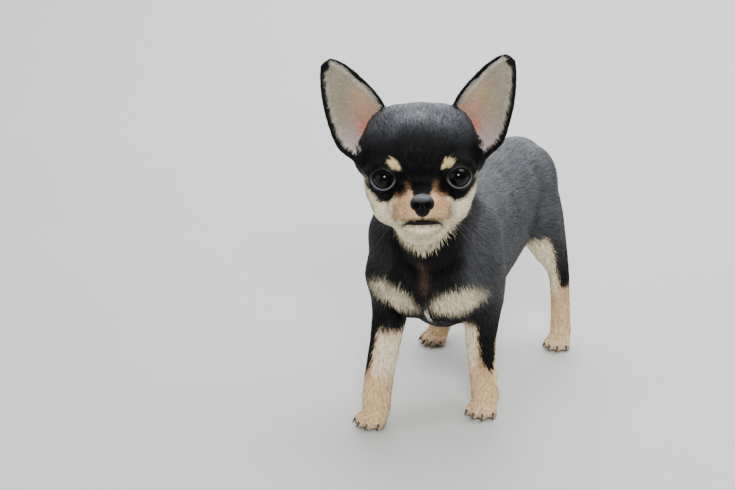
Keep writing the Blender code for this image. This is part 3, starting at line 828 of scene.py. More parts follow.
def lid_point(angle, lift):
    """A point of the lids' edge, lifted off the eyeball, in the eye's frame."""
    x, z = lid_curve(angle)
    radius = EYE_RADIUS + lift
    return Vector((x, -math.sqrt(max(radius ** 2 - x ** 2 - z ** 2, 1)), z))


def lid_share(local):
    """How far points lie from the eye's axis, where 1 is the edge of the lids."""
    angle = np.arctan2(local[:, 2] / LID_HALF_HEIGHT, local[:, 0] / LID_HALF_WIDTH)
    x, z = lid_curve(angle)
    share = np.hypot(local[:, 0], local[:, 2]) / np.hypot(x, z)
    return share, angle


def round_eye(points, side, limit, reach):
    """Points in front of the eyeball's middle, within a share of the lids' width."""
    local = moved(points, eye_matrix(side).inverted())
    share, _ = lid_share(local)
    return (share < limit) & (local[:, 1] < 0) & (np.linalg.norm(local, axis=1) < reach)


def fold_lids(points, normals):
    """Creases that follow the lids, and a shallow hollow under each eye."""
    depth = np.zeros(len(points))
    for side in SIDES:
        local = moved(points, eye_matrix(side).inverted())
        near = (local[:, 1] < 2) & (np.linalg.norm(local, axis=1) < FOLD_REACH)
        share, angle = lid_share(local)
        fades = {
            1: smooth_step(np.sin(angle) * 2 + 0.3),
            -1: smooth_step(-np.sin(angle) * 2 + 0.1),
        }
        crease = sum(
            deep * fades[upper] * stroke(share, place, breadth)
            for deep, upper, place, breadth in LID_CREASES
        )
        depth += np.where(near, crease, 0)
    return points - normals * depth[:, None]


def open_lids(mesh):
    """Cuts the almond of each eye out of the skin and draws its edge onto the eyeball."""
    shape = bmesh.new()
    shape.from_mesh(mesh)
    for side in SIDES:
        place = eye_matrix(side)
        back = place.inverted()
        middle = place.translation
        near = [
            face for face in shape.faces
            if (face.calc_center_median() - middle).length < EYE_REACH
        ]
        centres = np.array([back @ face.calc_center_median() for face in near])
        share, _ = lid_share(centres)
        gone = [near[index] for index in np.nonzero((share < 1.0) & (centres[:, 1] < 0))[0]]
        bmesh.ops.delete(shape, geom=gone, context="FACES")
        rim = {
            vertex for edge in shape.edges if edge.is_boundary for vertex in edge.verts
            if (vertex.co - middle).length < EYE_REACH
        }
        for vertex in rim:
            _, angle = lid_share(np.array([back @ vertex.co]))
            vertex.co = place @ lid_point(angle[0], RIM_LIFT)
    shape.to_mesh(mesh)
    shape.free()


def shrunk(points, normals):
    """Draws the skin in by the depth of the coat, less where the coat is thin."""
    depth = np.full(len(points), COAT_DEPTH)
    on_ear, _, _, front = ear_places(points)
    depth[on_ear & front] = EAR_FRONT_DEPTH
    depth[on_ear & ~front] = EAR_BACK_DEPTH
    spot = moved(points, HEAD_BACK)
    muzzle = under(spot[:, 1], 2, 16) * (np.abs(spot[:, 2] + 14) < 20)
    muzzle = muzzle * (np.linalg.norm(spot, axis=1) < 45)
    depth = depth * (1 - 0.5 * muzzle)
    depth = depth * over(points[:, 2], 0.5, 4)
    return points - normals * depth[:, None]


def make_skin():
    """Blends the large forms, then the small ones, then the ears, and works the surface."""
    forms = bmesh.new()
    add_torso(forms)
    add_neck(forms)
    add_skull(forms)
    for leg in LEGS.values():
        tube(forms, leg["stations"][:UPPER_LEG_STATIONS])
    forms = reopened(blended(bmesh_object("large", forms), LARGE_VOXEL, LARGE_ROUNDS))
    add_face(forms)
    tube(forms, TAIL)
    for leg in LEGS.values():
        tube(forms, leg["stations"][LOWER_LEG_START:])
        add_paw(forms, leg)
    forms = reopened(blended(bmesh_object("body", forms), SKIN_VOXEL, SKIN_ROUNDS))
    for side in SIDES:
        add_and_remove(forms, ear_sheet(side))
    skin = blended(bmesh_object("skin", forms), SKIN_VOXEL, EAR_ROUNDS)
    points = coordinates(skin.data)
    points = carve_mouth(points, vertex_normals(skin.data))
    points = fold_lids(points, vertex_normals(skin.data))
    set_coordinates(skin.data, points)
    points = shrunk(points, vertex_normals(skin.data))
    points[:, 2] = np.maximum(points[:, 2], FLOOR_GAP)
    set_coordinates(skin.data, points)
    open_lids(skin.data)
    return skin


# Markings, shared by the skin and the coat


def lattice(cells, seed):
    """A repeatable random value from 0 to 1 for each whole-numbered cell."""
    mixed_up = cells[:, 0] * 12.9898 + cells[:, 1] * 78.233 + cells[:, 2] * 37.719 + seed
    value = np.sin(mixed_up) * 43758.5453
    return value - np.floor(value)


def noise(points, size, seed):
    """Smooth noise from -1 to 1 with features of about the given size."""
    scaled = points / size
    base = np.floor(scaled)
    part = smooth_step(scaled - base)
    total = np.zeros(len(points))
    for corner in np.ndindex(2, 2, 2):
        weight = np.prod(np.abs(1 - np.array(corner) - part), axis=1)
        total += weight * lattice(base + corner, seed)
    return total * 2 - 1


def linear(display):
    value = np.array(display) / 255
    return np.where(value <= 0.04045, value / 12.92, ((value + 0.055) / 1.055) ** 2.4)


def laid(colours, mask, display):
    """Lays a colour over others by a mask from 0 to 1."""
    return mixed(colours, linear(display), np.clip(mask, 0, 1))


def cheek_mask(x, y, z):
    """Cheeks and throat, under a line that rises to the outer corner of the eye."""
    rise = -9.5 + 0.42 * np.clip(x - 14, 0, 40)
    cheek = under(z, rise, 1.6) * under(y, 21 - 0.35 * (z + 10), 3)
    outer = over(x, 27.2, 1.6) * under(z, 1.2, 2) * under(y, 13, 3)
    # Below the cheek the cream draws in towards the throat
    limit = 31.5 - 0.45 * np.clip(-9 - z, 0, None) - 0.6 * np.clip(-24 - z, 0, None)
    pale = np.maximum(cheek, outer) * under(x, limit + 1.25, 2.5)
    return pale * over(z - 0.62 * x, -46.2, 2.4)


def muzzle_colours(points, colours, x, y, z, front):
    """Tan with a rosy stop, freckled pads and a painted shadow in brown along the fold beside the
    lips.
    """
    muzzle = under(x, 16.8, 1.5) * under(z, -5.0 - 0.7 * (x - 5.5), 1.6)
    muzzle = muzzle * under(y, 6, 4) * over(z, -25, 2)
    colours = laid(colours, muzzle * front, TAN)
    rosy = oval(x, z, *ROSY_MARK) * (y < 2)
    colours = laid(colours, 0.45 * rosy * front, RUST)
    pads = oval(x, z, *FRECKLED_PAD) * over(noise(points, 0.9, 11.0), 0.1, 0.4)
    colours = laid(colours, 0.75 * pads * front, FRECKLE)
    # The brown line along the fold is painted shadow.
    fold_shadow = stroke(x, 15.6, 0.9) * over(z, -24, 4) * under(z, -11, 4)
    return laid(colours, 0.5 * fold_shadow * front * (y < 4), FOLD_SHADOW_BROWN)


def mask_colours(colours, x, y, z, front):
    """The black bridge, the black round each eye with a drop below, and the brow spots."""
    half = 4.4 + 1.9 * over(z, -9, 4) + 14 * over(z, -2.5, 4)
    bridge = under(x, half, 1) * over(z, -16, 3) * (y < 4)
    colours = laid(colours, bridge * front, INK)
    dark = np.maximum(oval(x, z, *EYE_RIM), oval(x, z, *TEARDROP)) * (y < 9)
    dark = np.maximum(dark, oval(x, z, *INNER_CORNER) * (y < 6))
    colours = laid(colours, dark * front, INK)
    brow = np.maximum(oval(x, z, *BROW_SPOT), oval(x, z, *BROW_POINT)) * (y < 6)
    return laid(colours, brow * front, BROW_GOLD)


def head_colours(points, colours):
    """Black mask with cream cheeks, tan muzzle, brow spots and teardrops."""
    spot = moved(points, HEAD_BACK)
    x = np.abs(spot[:, 0]) + 0.5 * noise(points, 3.0, 1.0)
    y = spot[:, 1] + 0.6 * noise(points, 1.2, 2.0)
    z = spot[:, 2] + 0.5 * noise(points, 2.4, 3.0)
    on_head = beyond(points, HEAD_CUT) > -14
    front = (y < 30) & on_head
    colours = laid(colours, cheek_mask(x, y, z) * on_head, CREAM)
    colours = muzzle_colours(points, colours, x, y, z, front)
    colours = mask_colours(colours, x, y, z, front)
    colours = laid(colours, lip_band(spot, 0.8, 3.2), LIP_DARK)
    cleft = (spot[:, 1] < -20) & (spot[:, 2] > -22.5) & (np.abs(spot[:, 0]) < 0.8)
    return laid(colours, cleft * 0.7, CLEFT_DARK)


def chest_colours(points, colours):
    """Throat, the two rosettes, the fine line of brown between them and a white fleck."""
    x, y, z = (points + 0.6 * noise(points, 3.0, 4.0)[:, None]).T
    throat = oval(x, z, *THROAT_MARK) * under(y, -30, 6)
    colours = laid(colours, throat * (z < 142), CREAM)
    fade = 0.66 + 0.3 * noise(points, 5.0, 5.0)
    for rosette in ROSETTES:
        colours = laid(colours, oval(x, z, *rosette) * under(y, -16, 6) * fade, CREAM)
    strip = stroke(x, 3, 3.2) * under(z, 112, 10) * over(z, 84, 8)
    colours = laid(colours, strip * (y < -8) * 0.75, UMBER)
    return laid(colours, oval(x, z, *CHEST_FLECK) * (y < -30) * 0.85, IVORY)


def from_leg(points, leg):
    """The sideways and lengthwise offset of points from a leg's middle line at their height."""
    stations = np.array(leg["stations"])[::-1]
    x = np.interp(points[:, 2], stations[:, 2], stations[:, 0])
    y = np.interp(points[:, 2], stations[:, 2], stations[:, 1])
    return points[:, 0] - x, points[:, 1] - y


def foreleg_colours(colours, leg, on_leg, facing, z):
    """A dark stripe down the outer front, which narrows to a point above the wrist, and cream on
    the lit outer side of the pastern as a painted highlight.
    """
    middle = leg["stripe"] + 0.5 * np.clip(z - 36, 0, 40)
    half = 40 * over(z, 22, 16) + 1.3 * np.clip(z - 40, 0, 40)
    stripe = under(np.abs(facing - middle), half, 9) * (z > 23)
    pale = (1 - stripe) * under(z, leg["pale_top"], 7) * on_leg
    colours = laid(colours, pale, TAN)
    colours = laid(colours, under(facing, 12, 16) * over(z, 24, 10) * pale, CREAM)
    # Cream on the outer side of the pastern is a painted highlight, the lit side of the leg.
    outer = over(facing, 60, 20) * over(z, 12, 8)
    colours = laid(colours, outer * pale * (z < 40), CREAM)
    return laid(colours, 0.6 * oval(facing, z, *WRIST_BROWN) * pale, RUST)


def hindleg_colours(colours, on_leg, inward, z):
    """Black behind and outside, pale in front and inside, tan below the hock."""
    inner = over(inward, 0.5, 3)
    pale = np.maximum(under(z, 44, 4), inner * under(z, 86, 8)) * on_leg
    colours = laid(colours, pale, TAN)
    return laid(colours, inner * over(z, 34, 8) * pale, CREAM)


def leg_colours(points, colours):
    z = points[:, 2] + 2.0 * noise(points, 3.5, 6.0)
    for name, leg in LEGS.items():
        dx, dy = from_leg(points, leg)
        outward = dx * leg["side"]
        reach = np.hypot(dx, dy)
        if name.startswith("fore"):
            on_leg = (points[:, 2] < 72) & (reach < 22)
            facing = np.degrees(np.arctan2(outward, -dy))
            colours = foreleg_colours(colours, leg, on_leg, facing, z)
        else:
            on_leg = (points[:, 2] < 86) & (reach < 28) & (points[:, 1] > 30)
            inward = -outward * 0.8 - dy * 0.6
            colours = hindleg_colours(colours, on_leg, inward, z)
    return laid(colours, 0.55 * under(points[:, 2], 9, 6), PAW_TAN)


def under_tail_colours(points, colours):
    """Brown belly, and cream under the root of the tail and along its underside."""
    x, y, z = points.T
    from_middle = np.abs(x - MIDDLE_X)
    belly = (y > 20) & (from_middle < 18)
    colours = laid(colours, belly * under(z, 70, 6) * 0.6, UMBER)
    vent = (y > 96) & (z > 84) & (z < 106) & (from_middle < 9)
    colours = laid(colours, vent * 0.8, CREAM)
    line = np.interp(z, *TAIL_UNDERSIDE)
    under_tail = (y > 108) & (z < 112) & (y < line - 1)
    return laid(colours, under_tail * 0.8, CREAM)


def rim_width(across, along):
    """Width of the ear's black border, which widens towards the tip."""
    return np.where(across < 0.5, 1.1, 1.6) + 1.5 * along ** 4


def ear_colours(points, colours, places):
    """Grey lining with a pink hollow, and a black border."""
    on_ear, across, along, front = places
    wave = noise(points, 4.0, 8.0)
    lining = laid(plain(EAR_GREY, len(points)), 0.5 + 0.5 * wave, EAR_SHADE)
    lining = laid(lining, 0.6 * under(across, 0.5, 0.3) * under(along, 0.7, 0.3), EAR_FAWN)
    lining = laid(lining, 0.9 * oval(across, along, *EAR_MAUVE_MARK), EAR_MAUVE)
    lining = laid(lining, 0.4 * oval(across, along, *EAR_PINK_MARK), EAR_PINK)
    lining = laid(lining, 0.9 * oval(across, along, *EAR_FLUSH_MARK), EAR_FLUSH)
    rim = 1 - over(ear_edge(across, along), rim_width(across, along) + 0.3 * wave, 0.8)
    tip = over(along, 0.86, 0.05)
    notch = 1 - over(along, 0.08 + 0.02 * wave, 0.04)
    lining = laid(lining, np.maximum(np.maximum(rim, tip), notch), INK)
    return np.where((on_ear & front)[:, None], lining, colours)


def dusk_and_sheen_masks(points, places):
    """How grey the body is, partly its own dusky coat and partly painted sheen on top fading to
    painted shade below, and how much painted sheen lies on the crown.
    """
    spot = moved(points, HEAD_BACK)
    on_head = over(beyond(points, HEAD_CUT), -4, 10)
    uneven = 1 + 0.35 * noise(points, 7.0, 12.0)
    x, y, z = points.T
    # Greyer higher up the back: painted sheen on top of the coat's dusky grey.
    back = over(y, -34, 26) * (0.3 + 0.45 * over(z, 96, 26))
    outside = over(np.abs(x - MIDDLE_X), 16, 10) * over(z, 62, 20)
    shoulder = 0.5 * outside * over(y, -46, 12)
    haunch = 1 - 0.55 * over(y, 78, 12) * under(z, 112, 16)
    body = np.maximum(back, shoulder) * haunch * over(z, 46, 30)
    # Less grey towards the belly: painted shade.
    body = body * (1 - 0.6 * under(z, 102, 34))
    body = np.clip(body * (1 - on_head) * uneven, 0, 1)
    # Grey on the top of the crown is painted sheen.
    crown = 0.6 * over(spot[:, 2], 12, 25) * over(spot[:, 1], -12, 14)
    temple = 0.12 * over(spot[:, 1], 8, 12)
    crown = np.clip(np.maximum(crown, temple) * on_head * uneven, 0, 1)
    crown = crown * np.where(places[0], 0.35, 1)
    lining = places[0] & places[3]
    return np.where(lining, 0, body), np.where(lining, 0, crown)


def coat_colours(points, places):
    """The markings at each point: black above, tan and cream below."""
    tone = 0.5 + 0.5 * noise(points, 9.0, 9.0)
    colours = laid(plain(INK, len(points)), tone * 0.5, SOOT)
    # The body's dusky grey, partly painted sheen above and painted shade below.
    dusk_and_sheen, _ = dusk_and_sheen_masks(points, places)
    colours = laid(colours, dusk_and_sheen, DUSK_AND_SHEEN_GREY)
    colours = leg_colours(points, colours)
    colours = chest_colours(points, colours)
    colours = under_tail_colours(points, colours)
    colours = head_colours(points, colours)
    return ear_colours(points, colours, places)


# The lie of the coat

HEAD_WHORL = (0, -30, -9)
NAPE_LIE = np.array([0, 0.75, -0.65])
LEG_LIE = np.array([0, 0.18, -1.0])
PAW_LIE = np.array([0, -1.0, -0.35])
WANDER = 0.12


def head_flow(spot):
    """Back from the nose and away from each eye, in the dog's frame."""
    radial = unit((spot - HEAD_WHORL) * [0.9, 1.0, 0.8])
    for side in SIDES:
        away = spot - [side * EYE_X, -4, 0]
        closeness = stroke(np.linalg.norm(away, axis=1), 0, 13)
        radial = radial + unit(away) * (closeness * 0.9)[:, None]
    return turned(unit(radial), HEAD)


def body_flow(points):
    """Back along the flanks, down the chest, legs and tail, and forward over the paws."""
    x, y, z = points.T
    flank = rows(0, 1.0, -0.25 - 0.5 * under(z, 112, 40))
    chest = rows((x - 4) * 0.012, 0.25, -1.0)
    fore = under(y, -22, 18)
    on_neck = over(beyond(points, NECK_CUT), -6, 12)
    flow = mixed(mixed(flank, chest, fore), mixed(NAPE_LIE, chest, fore), on_neck)
    low = under(z, 78, 26) * (1 - under(np.abs(x - MIDDLE_X), 30, 30))
    flow = mixed(flow, LEG_LIE, np.maximum(low, under(z, 52, 6)))
    flow = mixed(flow, PAW_LIE, under(z, 9, 6))
    return mixed(flow, rows(0.12, 0.9 * over(z, 104, 12), -1.0), over(y, 104, 5))


def coat_flow(points, normals, places):
    """The way the hair lies at each point, along the surface."""
    on_ear, across, _, front = places
    spot = moved(points, HEAD_BACK)
    on_head = over(beyond(points, HEAD_CUT), -6, 14)
    flow = mixed(unit(body_flow(points)), head_flow(spot), on_head)
    side = np.sign(spot[:, 0])
    ear_up = rows(side * (0.35 + 0.4 * across), 0.1, 0.85)
    ear_in = rows(side * (0.9 - 1.5 * (across > 0.5)), 0.1, 0.75)
    flow = np.where(on_ear[:, None], turned(ear_up, HEAD), flow)
    flow = np.where((on_ear & front)[:, None], turned(ear_in, HEAD), flow)
    flow = flow + WANDER * rows(*(noise(points, 6.0, 20.0 + axis) for axis in range(3)))
    return unit(flow - normals * np.sum(flow * normals, axis=1)[:, None])


# A tuft's length, width, depth and density, and what each zone adds to them
PLAIN_TUFT = (6.0, 0.6, 0.5, 1.0)
ZONE_CHANGES = {
    "head": (-1.6, -0.16, -0.06, 0.6),
    "face": (-1.3, -0.08, -0.12, 1.0),
    "muzzle": (-1.0, -0.06, -0.06, 0.8),
    "legs": (-1.9, -0.12, -0.1, 0.3),
    "paws": (-2.2, -0.06, 0.0, 0.6),
    "cheeks": (1.4, 0.0, 0.35, 0.0),
    "chest": (0.3, 0.0, 0.15, 0.0),
}
EAR_BACK_TUFT = (2.8, 0.42, 0.3, 2.0)
EYE_TUFT = (1.7, 0.32, 0.3)
SOLE_HEIGHT = 1.2


def coat_zones(points, spot):
    """How far each point belongs to each zone that changes the coat."""
    on_head = over(beyond(points, HEAD_CUT), -6, 14)
    return {
        "head": on_head,
        "face": on_head * under(spot[:, 1], 14, 16),
        "muzzle": on_head * under(spot[:, 1], -6, 12),
        "legs": under(points[:, 2], 60, 12),
        "paws": under(points[:, 2], 12, 8),
        "cheeks": on_head * over(spot[:, 1], 4, 8) * under(spot[:, 2], 2, 8),
        "chest": (1 - on_head) * under(points[:, 1], -30, 12),
    }


def bare_places(points, spot):
    """Nothing grows under the soles, on the nose, between the lips or on the lids' edges."""
    at_nose = np.linalg.norm((spot - np.array(NOSE_CENTRE)) / NOSE_BARE, axis=1) < 1
    bare = at_nose | (lip_band(spot, 1.0, 2.6) > 0.3) | (points[:, 2] <= SOLE_HEIGHT)
    for side in SIDES:
        bare |= round_eye(points, side, 1.2, EYE_REACH)
    return bare


def coat_measures(points, places):
    """Length, width, depth and density of the tufts at each point, as columns."""
    on_ear, across, along, front = places
    spot = moved(points, HEAD_BACK)
    zones = coat_zones(points, spot)
    measures = np.tile(PLAIN_TUFT, (len(points), 1))
    for name, share in zones.items():
        measures += share[:, None] * np.array(ZONE_CHANGES[name])
    measures[:, 0] *= 1 - 0.65 * (zones["head"] * lip_band(spot, 4.5, 1.0))
    measures = np.where(on_ear[:, None], EAR_BACK_TUFT, measures)
    edge = ear_edge(across, along)
    fringe = under(edge, 5.5, 2) * np.where(across < 0.5, 1.0, 0.6)
    lining = rows(1.6 + 2.6 * fringe, 0.22, 0.2 + 0.5 * fringe, 0.6 + 2.4 * fringe)
    measures = np.where((on_ear & front)[:, None], lining, measures)
    measures[:, 3] *= ~bare_places(points, spot)
    for side in SIDES:
        close = round_eye(points, side, 2.0, FOLD_REACH)
        measures[close, 0] = np.minimum(measures[close, 0], EYE_TUFT[0])
        measures[close, 1:3] = EYE_TUFT[1:]
    return measures.T


# The coat

# The three sides of a tuft: quads from root to middle, triangles from middle to tip
TUFT_QUADS = np.array([(0, 1, 4, 3), (1, 2, 5, 4), (2, 0, 3, 5)])
TUFT_THREES = np.array([(3, 4, 6), (4, 5, 6), (5, 3, 6), (0, 2, 1)])
# For each of a tuft's seven points: lean of its normal, painted shade and light along the tuft,
# share of painted sheen and place on its patch
TUFT_LEAN = np.array([-1, 1, 0, -1, 1, 0, 0])
TUFT_SHADE = np.array([0.72, 0.72, 0.8, 1.0, 1.0, 1.05, 1.15])
TUFT_SHEEN = np.array([0, 0, 0, 0.6, 0.6, 0.6, 1.0])
TUFT_PATCH = np.array([(0, 0), (1, 0), (0.5, 0.1), (0, 0.6), (1, 0.6), (0.5, 0.6), (0.5, 1)])
TUFT_POINTS = len(TUFT_LEAN)
SHARED_SLOTS = {
    "torso": "coat_black",
    "rump": "coat_black",
    "crown": "coat_head",
    "face": "coat_head",
}


def scattered(mesh, wanted):
    """Random roots on the skin, closer together where the coat is denser."""
    mesh.calc_loop_triangles()
    corners = np.empty(len(mesh.loop_triangles) * 3, dtype=np.int32)
    mesh.loop_triangles.foreach_get("vertices", corners)
    corners = corners.reshape(-1, 3)
    points = coordinates(mesh)
    normals = vertex_normals(mesh)
    a, b, c = (points[corners[:, column]] for column in range(3))
    area = np.linalg.norm(np.cross(b - a, c - a), axis=1) / 2
    centres = (a + b + c) / 3
    weight = area * coat_measures(centres, ear_places(centres))[3]
    chosen = RANDOM.choice(len(corners), size=wanted, p=weight / weight.sum())
    first = np.sqrt(RANDOM.random(wanted))
    second = RANDOM.random(wanted)
    shares = rows(1 - first, first * (1 - second), first * second)[:, :, None]
    roots = (points[corners[chosen]] * shares).sum(axis=1)
    facing = unit((normals[corners[chosen]] * shares).sum(axis=1))
    return roots, facing


def settled(tree, points, heights):
    """Points drawn back to so much above the skin."""
    result = np.empty_like(points)
    for index, point in enumerate(points):
        spot, normal, _, _ = tree.find_nearest(point)
        result[index] = spot + normal * heights[index]
    return result


def part_of_coat(points, places):
    """Which piece each tuft belongs to."""
    side = np.where(points[:, 0] > MIDDLE_X, "_left", "_right")
    names = np.char.add(np.where(points[:, 1] > RUMP_Y, "coat_rump", "coat_torso"), side)
    names = names.astype(object)
    for name, leg in LEGS.items():
        reach, top = LEG_COAT[name[:4]]
        near = np.hypot(*from_leg(points, leg)) < reach
        names[near & (points[:, 2] < top)] = "coat_" + name
    names[points[:, 1] > TAIL_Y] = "coat_tail"
    names[beyond(points, NECK_CUT) > 0] = "coat_neck"
    on_head = beyond(points, HEAD_CUT) > 0
    spot = moved(points, HEAD_BACK)
    side = np.where(spot[:, 0] > 0, "_left", "_right")
    head_part = np.where(spot[:, 1] < FACE_Y, "coat_face", "coat_crown")
    names = np.where(on_head, np.char.add(head_part, side), names)
    return np.where(places[0], np.char.add("coat_ear", side), names)


def slot_of(name):
    """The material slot of a coat piece: shared on the trunk and head, else its own."""
    part = name.split("_")[1]
    if part == "ear":
        return name.replace("coat_ear", "ear_skin")
    return SHARED_SLOTS.get(part, name)


def unwrapped(roots, normals):
    """The skin unwrapped on the six sides of a box, as two rows of three tiles."""
    low = roots.min(axis=0)
    size = np.maximum((roots.max(axis=0) - low).max(), 1e-6)
    place = (roots - low) / size
    axis = np.abs(normals).argmax(axis=1)
    numbers = np.arange(len(roots))
    upper_row = normals[numbers, axis] > 0
    u = place[numbers, (axis + 1) % 3]
    v = place[numbers, (axis + 2) % 3]
    margin = 2 * PATCH
    return rows(
        axis / 3 + margin + u * (1 / 3 - 2 * margin),
        upper_row * 0.5 + margin + v * 0.32,
    )


def tuft_corners(tufts):
    """The seven points of each tuft: three at the root, three at the middle and the tip."""
    half = tufts["across"] * tufts["widths"][:, None] / 2
    rise = tufts["ridge"] * (tufts["widths"] * RIDGE_SHARE)[:, None]
    roots, middles = tufts["roots"], tufts["middles"]
    return np.stack([
        roots - half * ROOT_NARROWING,
        roots + half * ROOT_NARROWING,
        roots + rise,
        middles - half,
        middles + half,
        middles + rise,
        tufts["tips"],
    ], axis=1)


def shade_tufts(mesh, tufts):
    """Shades the tufts as parts of one soft surface, each a little rounded across."""
    across, ridge = tufts["across"], tufts["ridge"]
    tilt = RANDOM.normal(size=(2, len(across), 1)) * UNEVENNESS
    facing = ridge + across * tilt[0] + np.cross(across, ridge) * tilt[1]
    lean = TUFT_LEAN[None, :, None] * ROUNDING
    soft = facing[:, None, :] + across[:, None, :] * lean
    mesh.polygons.foreach_set("use_smooth", np.ones(len(mesh.polygons), dtype=bool))
    mesh.normals_split_custom_set_from_vertices(unit(soft.reshape(-1, 3)).astype(np.float32))


def paint_tufts(mesh, tufts):
    """Darker at the root and lighter at the tip as painted shade and light, and tipped with painted
    sheen.
    """
    full = tufts["colours"][:, None, :] * TUFT_SHADE[None, :, None]
    pale = tufts["sheen"][:, None, None] * TUFT_SHEEN[None, :, None]
    full = full * (1 - pale) + linear(SHEEN_GREY) * pale
    paint(mesh, full.reshape(-1, 3))


def tuft_mesh(name, tufts):
    """Flat three-sided blades, closed at the root and pointed at the tip."""
    count = len(tufts["roots"])
    start = (np.arange(count) * TUFT_POINTS)[:, None]
    pattern = np.concatenate([TUFT_QUADS.ravel(), TUFT_THREES.ravel()])
    loops = (start + pattern).ravel()
    sizes = np.tile([4] * len(TUFT_QUADS) + [3] * len(TUFT_THREES), count)
    begins = np.concatenate([[0], np.cumsum(sizes)[:-1]])
    mesh = bpy.data.meshes.new(name)
    mesh.vertices.add(count * TUFT_POINTS)
    mesh.vertices.foreach_set("co", tuft_corners(tufts).astype(np.float32).ravel())
    mesh.loops.add(len(loops))
    mesh.loops.foreach_set("vertex_index", loops.astype(np.int32))
    mesh.polygons.add(len(sizes))
    mesh.polygons.foreach_set("loop_start", begins.astype(np.int32))
    mesh.update(calc_edges=True)
    shade_tufts(mesh, tufts)
    paint_tufts(mesh, tufts)
    middles = unwrapped(tufts["roots"], tufts["ridge"])
    spots = (middles[:, None, :] + (TUFT_PATCH - 0.5)[None] * PATCH).reshape(-1, 2)
    layer = mesh.uv_layers.new(name="OFBake")
    layer.data.foreach_set("uv", spots[loops].astype(np.float32).ravel())
    return new_object(name, mesh)


def tuft_colours(roots, places):
    """Each tuft's colour and how much painted sheen lies on its tip."""
    mingling = np.where(beyond(roots, HEAD_CUT) > 0, FACE_MINGLING, BODY_MINGLING)
    colours = coat_colours(roots + RANDOM.normal(size=(TUFTS, 3)) * mingling[:, None], places)
    on_ear, across, along, front = places
    lining = on_ear & front
    edge = ear_edge(across, along)
    pale = np.where(across < 0.5, 0.42, 0.22) * under(edge, 5.5, 3) + 0.12
    colours = laid(colours, lining * pale, EAR_HAIR)
    rim = lining & ((edge < rim_width(across, along)) | (along > 0.885) | (along < 0.1))
    colours = np.where(rim[:, None], linear(INK), colours)
    shine = 1 + SHINE_SPREAD * RANDOM.normal(size=TUFTS)
    colours = colours * np.clip(shine, 0.5, 1.6)[:, None]
    dusk_and_sheen, sheen = dusk_and_sheen_masks(roots, places)
    # Part of the body's grey goes onto the tips too, as painted sheen.
    sheen = (0.28 * dusk_and_sheen + sheen) * (0.35 + 0.65 * RANDOM.random(TUFTS))
    return colours, sheen * (1 - over(colours.mean(axis=1), 0, 0.12))


def make_coat(skin, tree, material):
    """Scatters the tufts, lays each along the skin and parts them into pieces."""
    roots, normals = scattered(skin.data, TUFTS)
    places = ear_places(roots)
    length, width, depth, _ = coat_measures(roots, places)
    flow = coat_flow(roots, normals, places)
    vary = RANDOM.normal(size=(TUFTS, 3))
    flow = unit(flow + np.cross(normals, flow) * (TURN_SPREAD * vary[:, 0])[:, None])
    length = length * (1 + LENGTH_SPREAD * np.clip(vary[:, 1], -2, 2))
    lift = depth * (1 + LIFT_SPREAD * np.clip(vary[:, 2], -2, 2.5))
    middles = settled(tree, roots + flow * (length * MIDDLE_SHARE)[:, None], lift * MIDDLE_LIFT)
    tips = settled(tree, roots + flow * length[:, None], lift)
    sideways = np.cross(normals, flow)
    roots = roots - normals * ROOT_DEPTH
    colours, sheen = tuft_colours(roots, places)
    tufts = {
        "roots": roots,
        "middles": middles,
        "tips": tips,
        "across": sideways,
        "ridge": normals,
        "widths": width,
        "colours": colours,
        "sheen": sheen,
    }
    parts = part_of_coat(roots, places)
    off_floor = np.minimum(tips[:, 2], middles[:, 2]) >= TUFT_FLOOR_GAP
    for name in sorted(set(parts)):
        chosen = (parts == name) & off_floor
        piece = tuft_mesh(name, {key: values[chosen] for key, values in tufts.items()})
        piece.data.materials.append(material)
        finished(piece, slot_of(name))


# Materials


class Nodes:
    """Short ways to add and link shader nodes."""

    def __init__(self, name):
        self.material = bpy.data.materials.new(name)
        self.material.use_nodes = True
        self.tree = self.material.node_tree
        self.shader = self.tree.nodes["Principled BSDF"]

    def add(self, kind, **inputs):
        node = self.tree.nodes.new(kind)
        for name, value in inputs.items():
            node.inputs[name.replace("_", " ")].default_value = value
        return node

    def link(self, source, target):
        self.tree.links.new(source, target)

    def set(self, **inputs):
        for name, value in inputs.items():
            self.shader.inputs[name.replace("_", " ")].default_value = value

    def coordinates(self):
        return self.add("ShaderNodeTexCoord").outputs["Object"]

    def noise(self, scale, detail):
        node = self.add("ShaderNodeTexNoise", Scale=scale, Detail=detail, Roughness=0.6)
        self.link(self.coordinates(), node.inputs["Vector"])
        return node.outputs["Fac"]

    def ramp(self, source, low, high, first, second):
        node = self.add(
            "ShaderNodeMapRange", From_Min=low, From_Max=high, To_Min=first, To_Max=second,
        )
        self.link(source, node.inputs["Value"])
        return node.outputs["Result"]

    def uneven(self, scale, detail, first, second):
        """Noise spread from a first value to a second."""
        return self.ramp(self.noise(scale, detail), 0.3, 0.7, first, second)

    def tinted(self, colour, factor):
        """The base colour as a colour multiplied by a grey factor."""
        node = self.add("ShaderNodeMix")
        node.data_type = "RGBA"
        node.blend_type = "MULTIPLY"
        node.inputs[0].default_value = 1.0
        self.link(colour, node.inputs[6])
        self.link(factor, node.inputs[7])
        self.link(node.outputs[2], self.shader.inputs["Base Color"])

    def painted(self, scale, detail, dark, light):
        """The painted colours as the base colour, made uneven by noise."""
        node = self.add("ShaderNodeVertexColor")
        node.layer_name = "coat_colour"
        self.tinted(node.outputs["Color"], self.uneven(scale, detail, dark, light))

    def bump(self, height, strength, distance):
        node = self.add("ShaderNodeBump", Strength=strength, Distance=distance)
        self.link(height, node.inputs["Height"])
        self.link(node.outputs["Normal"], self.shader.inputs["Normal"])


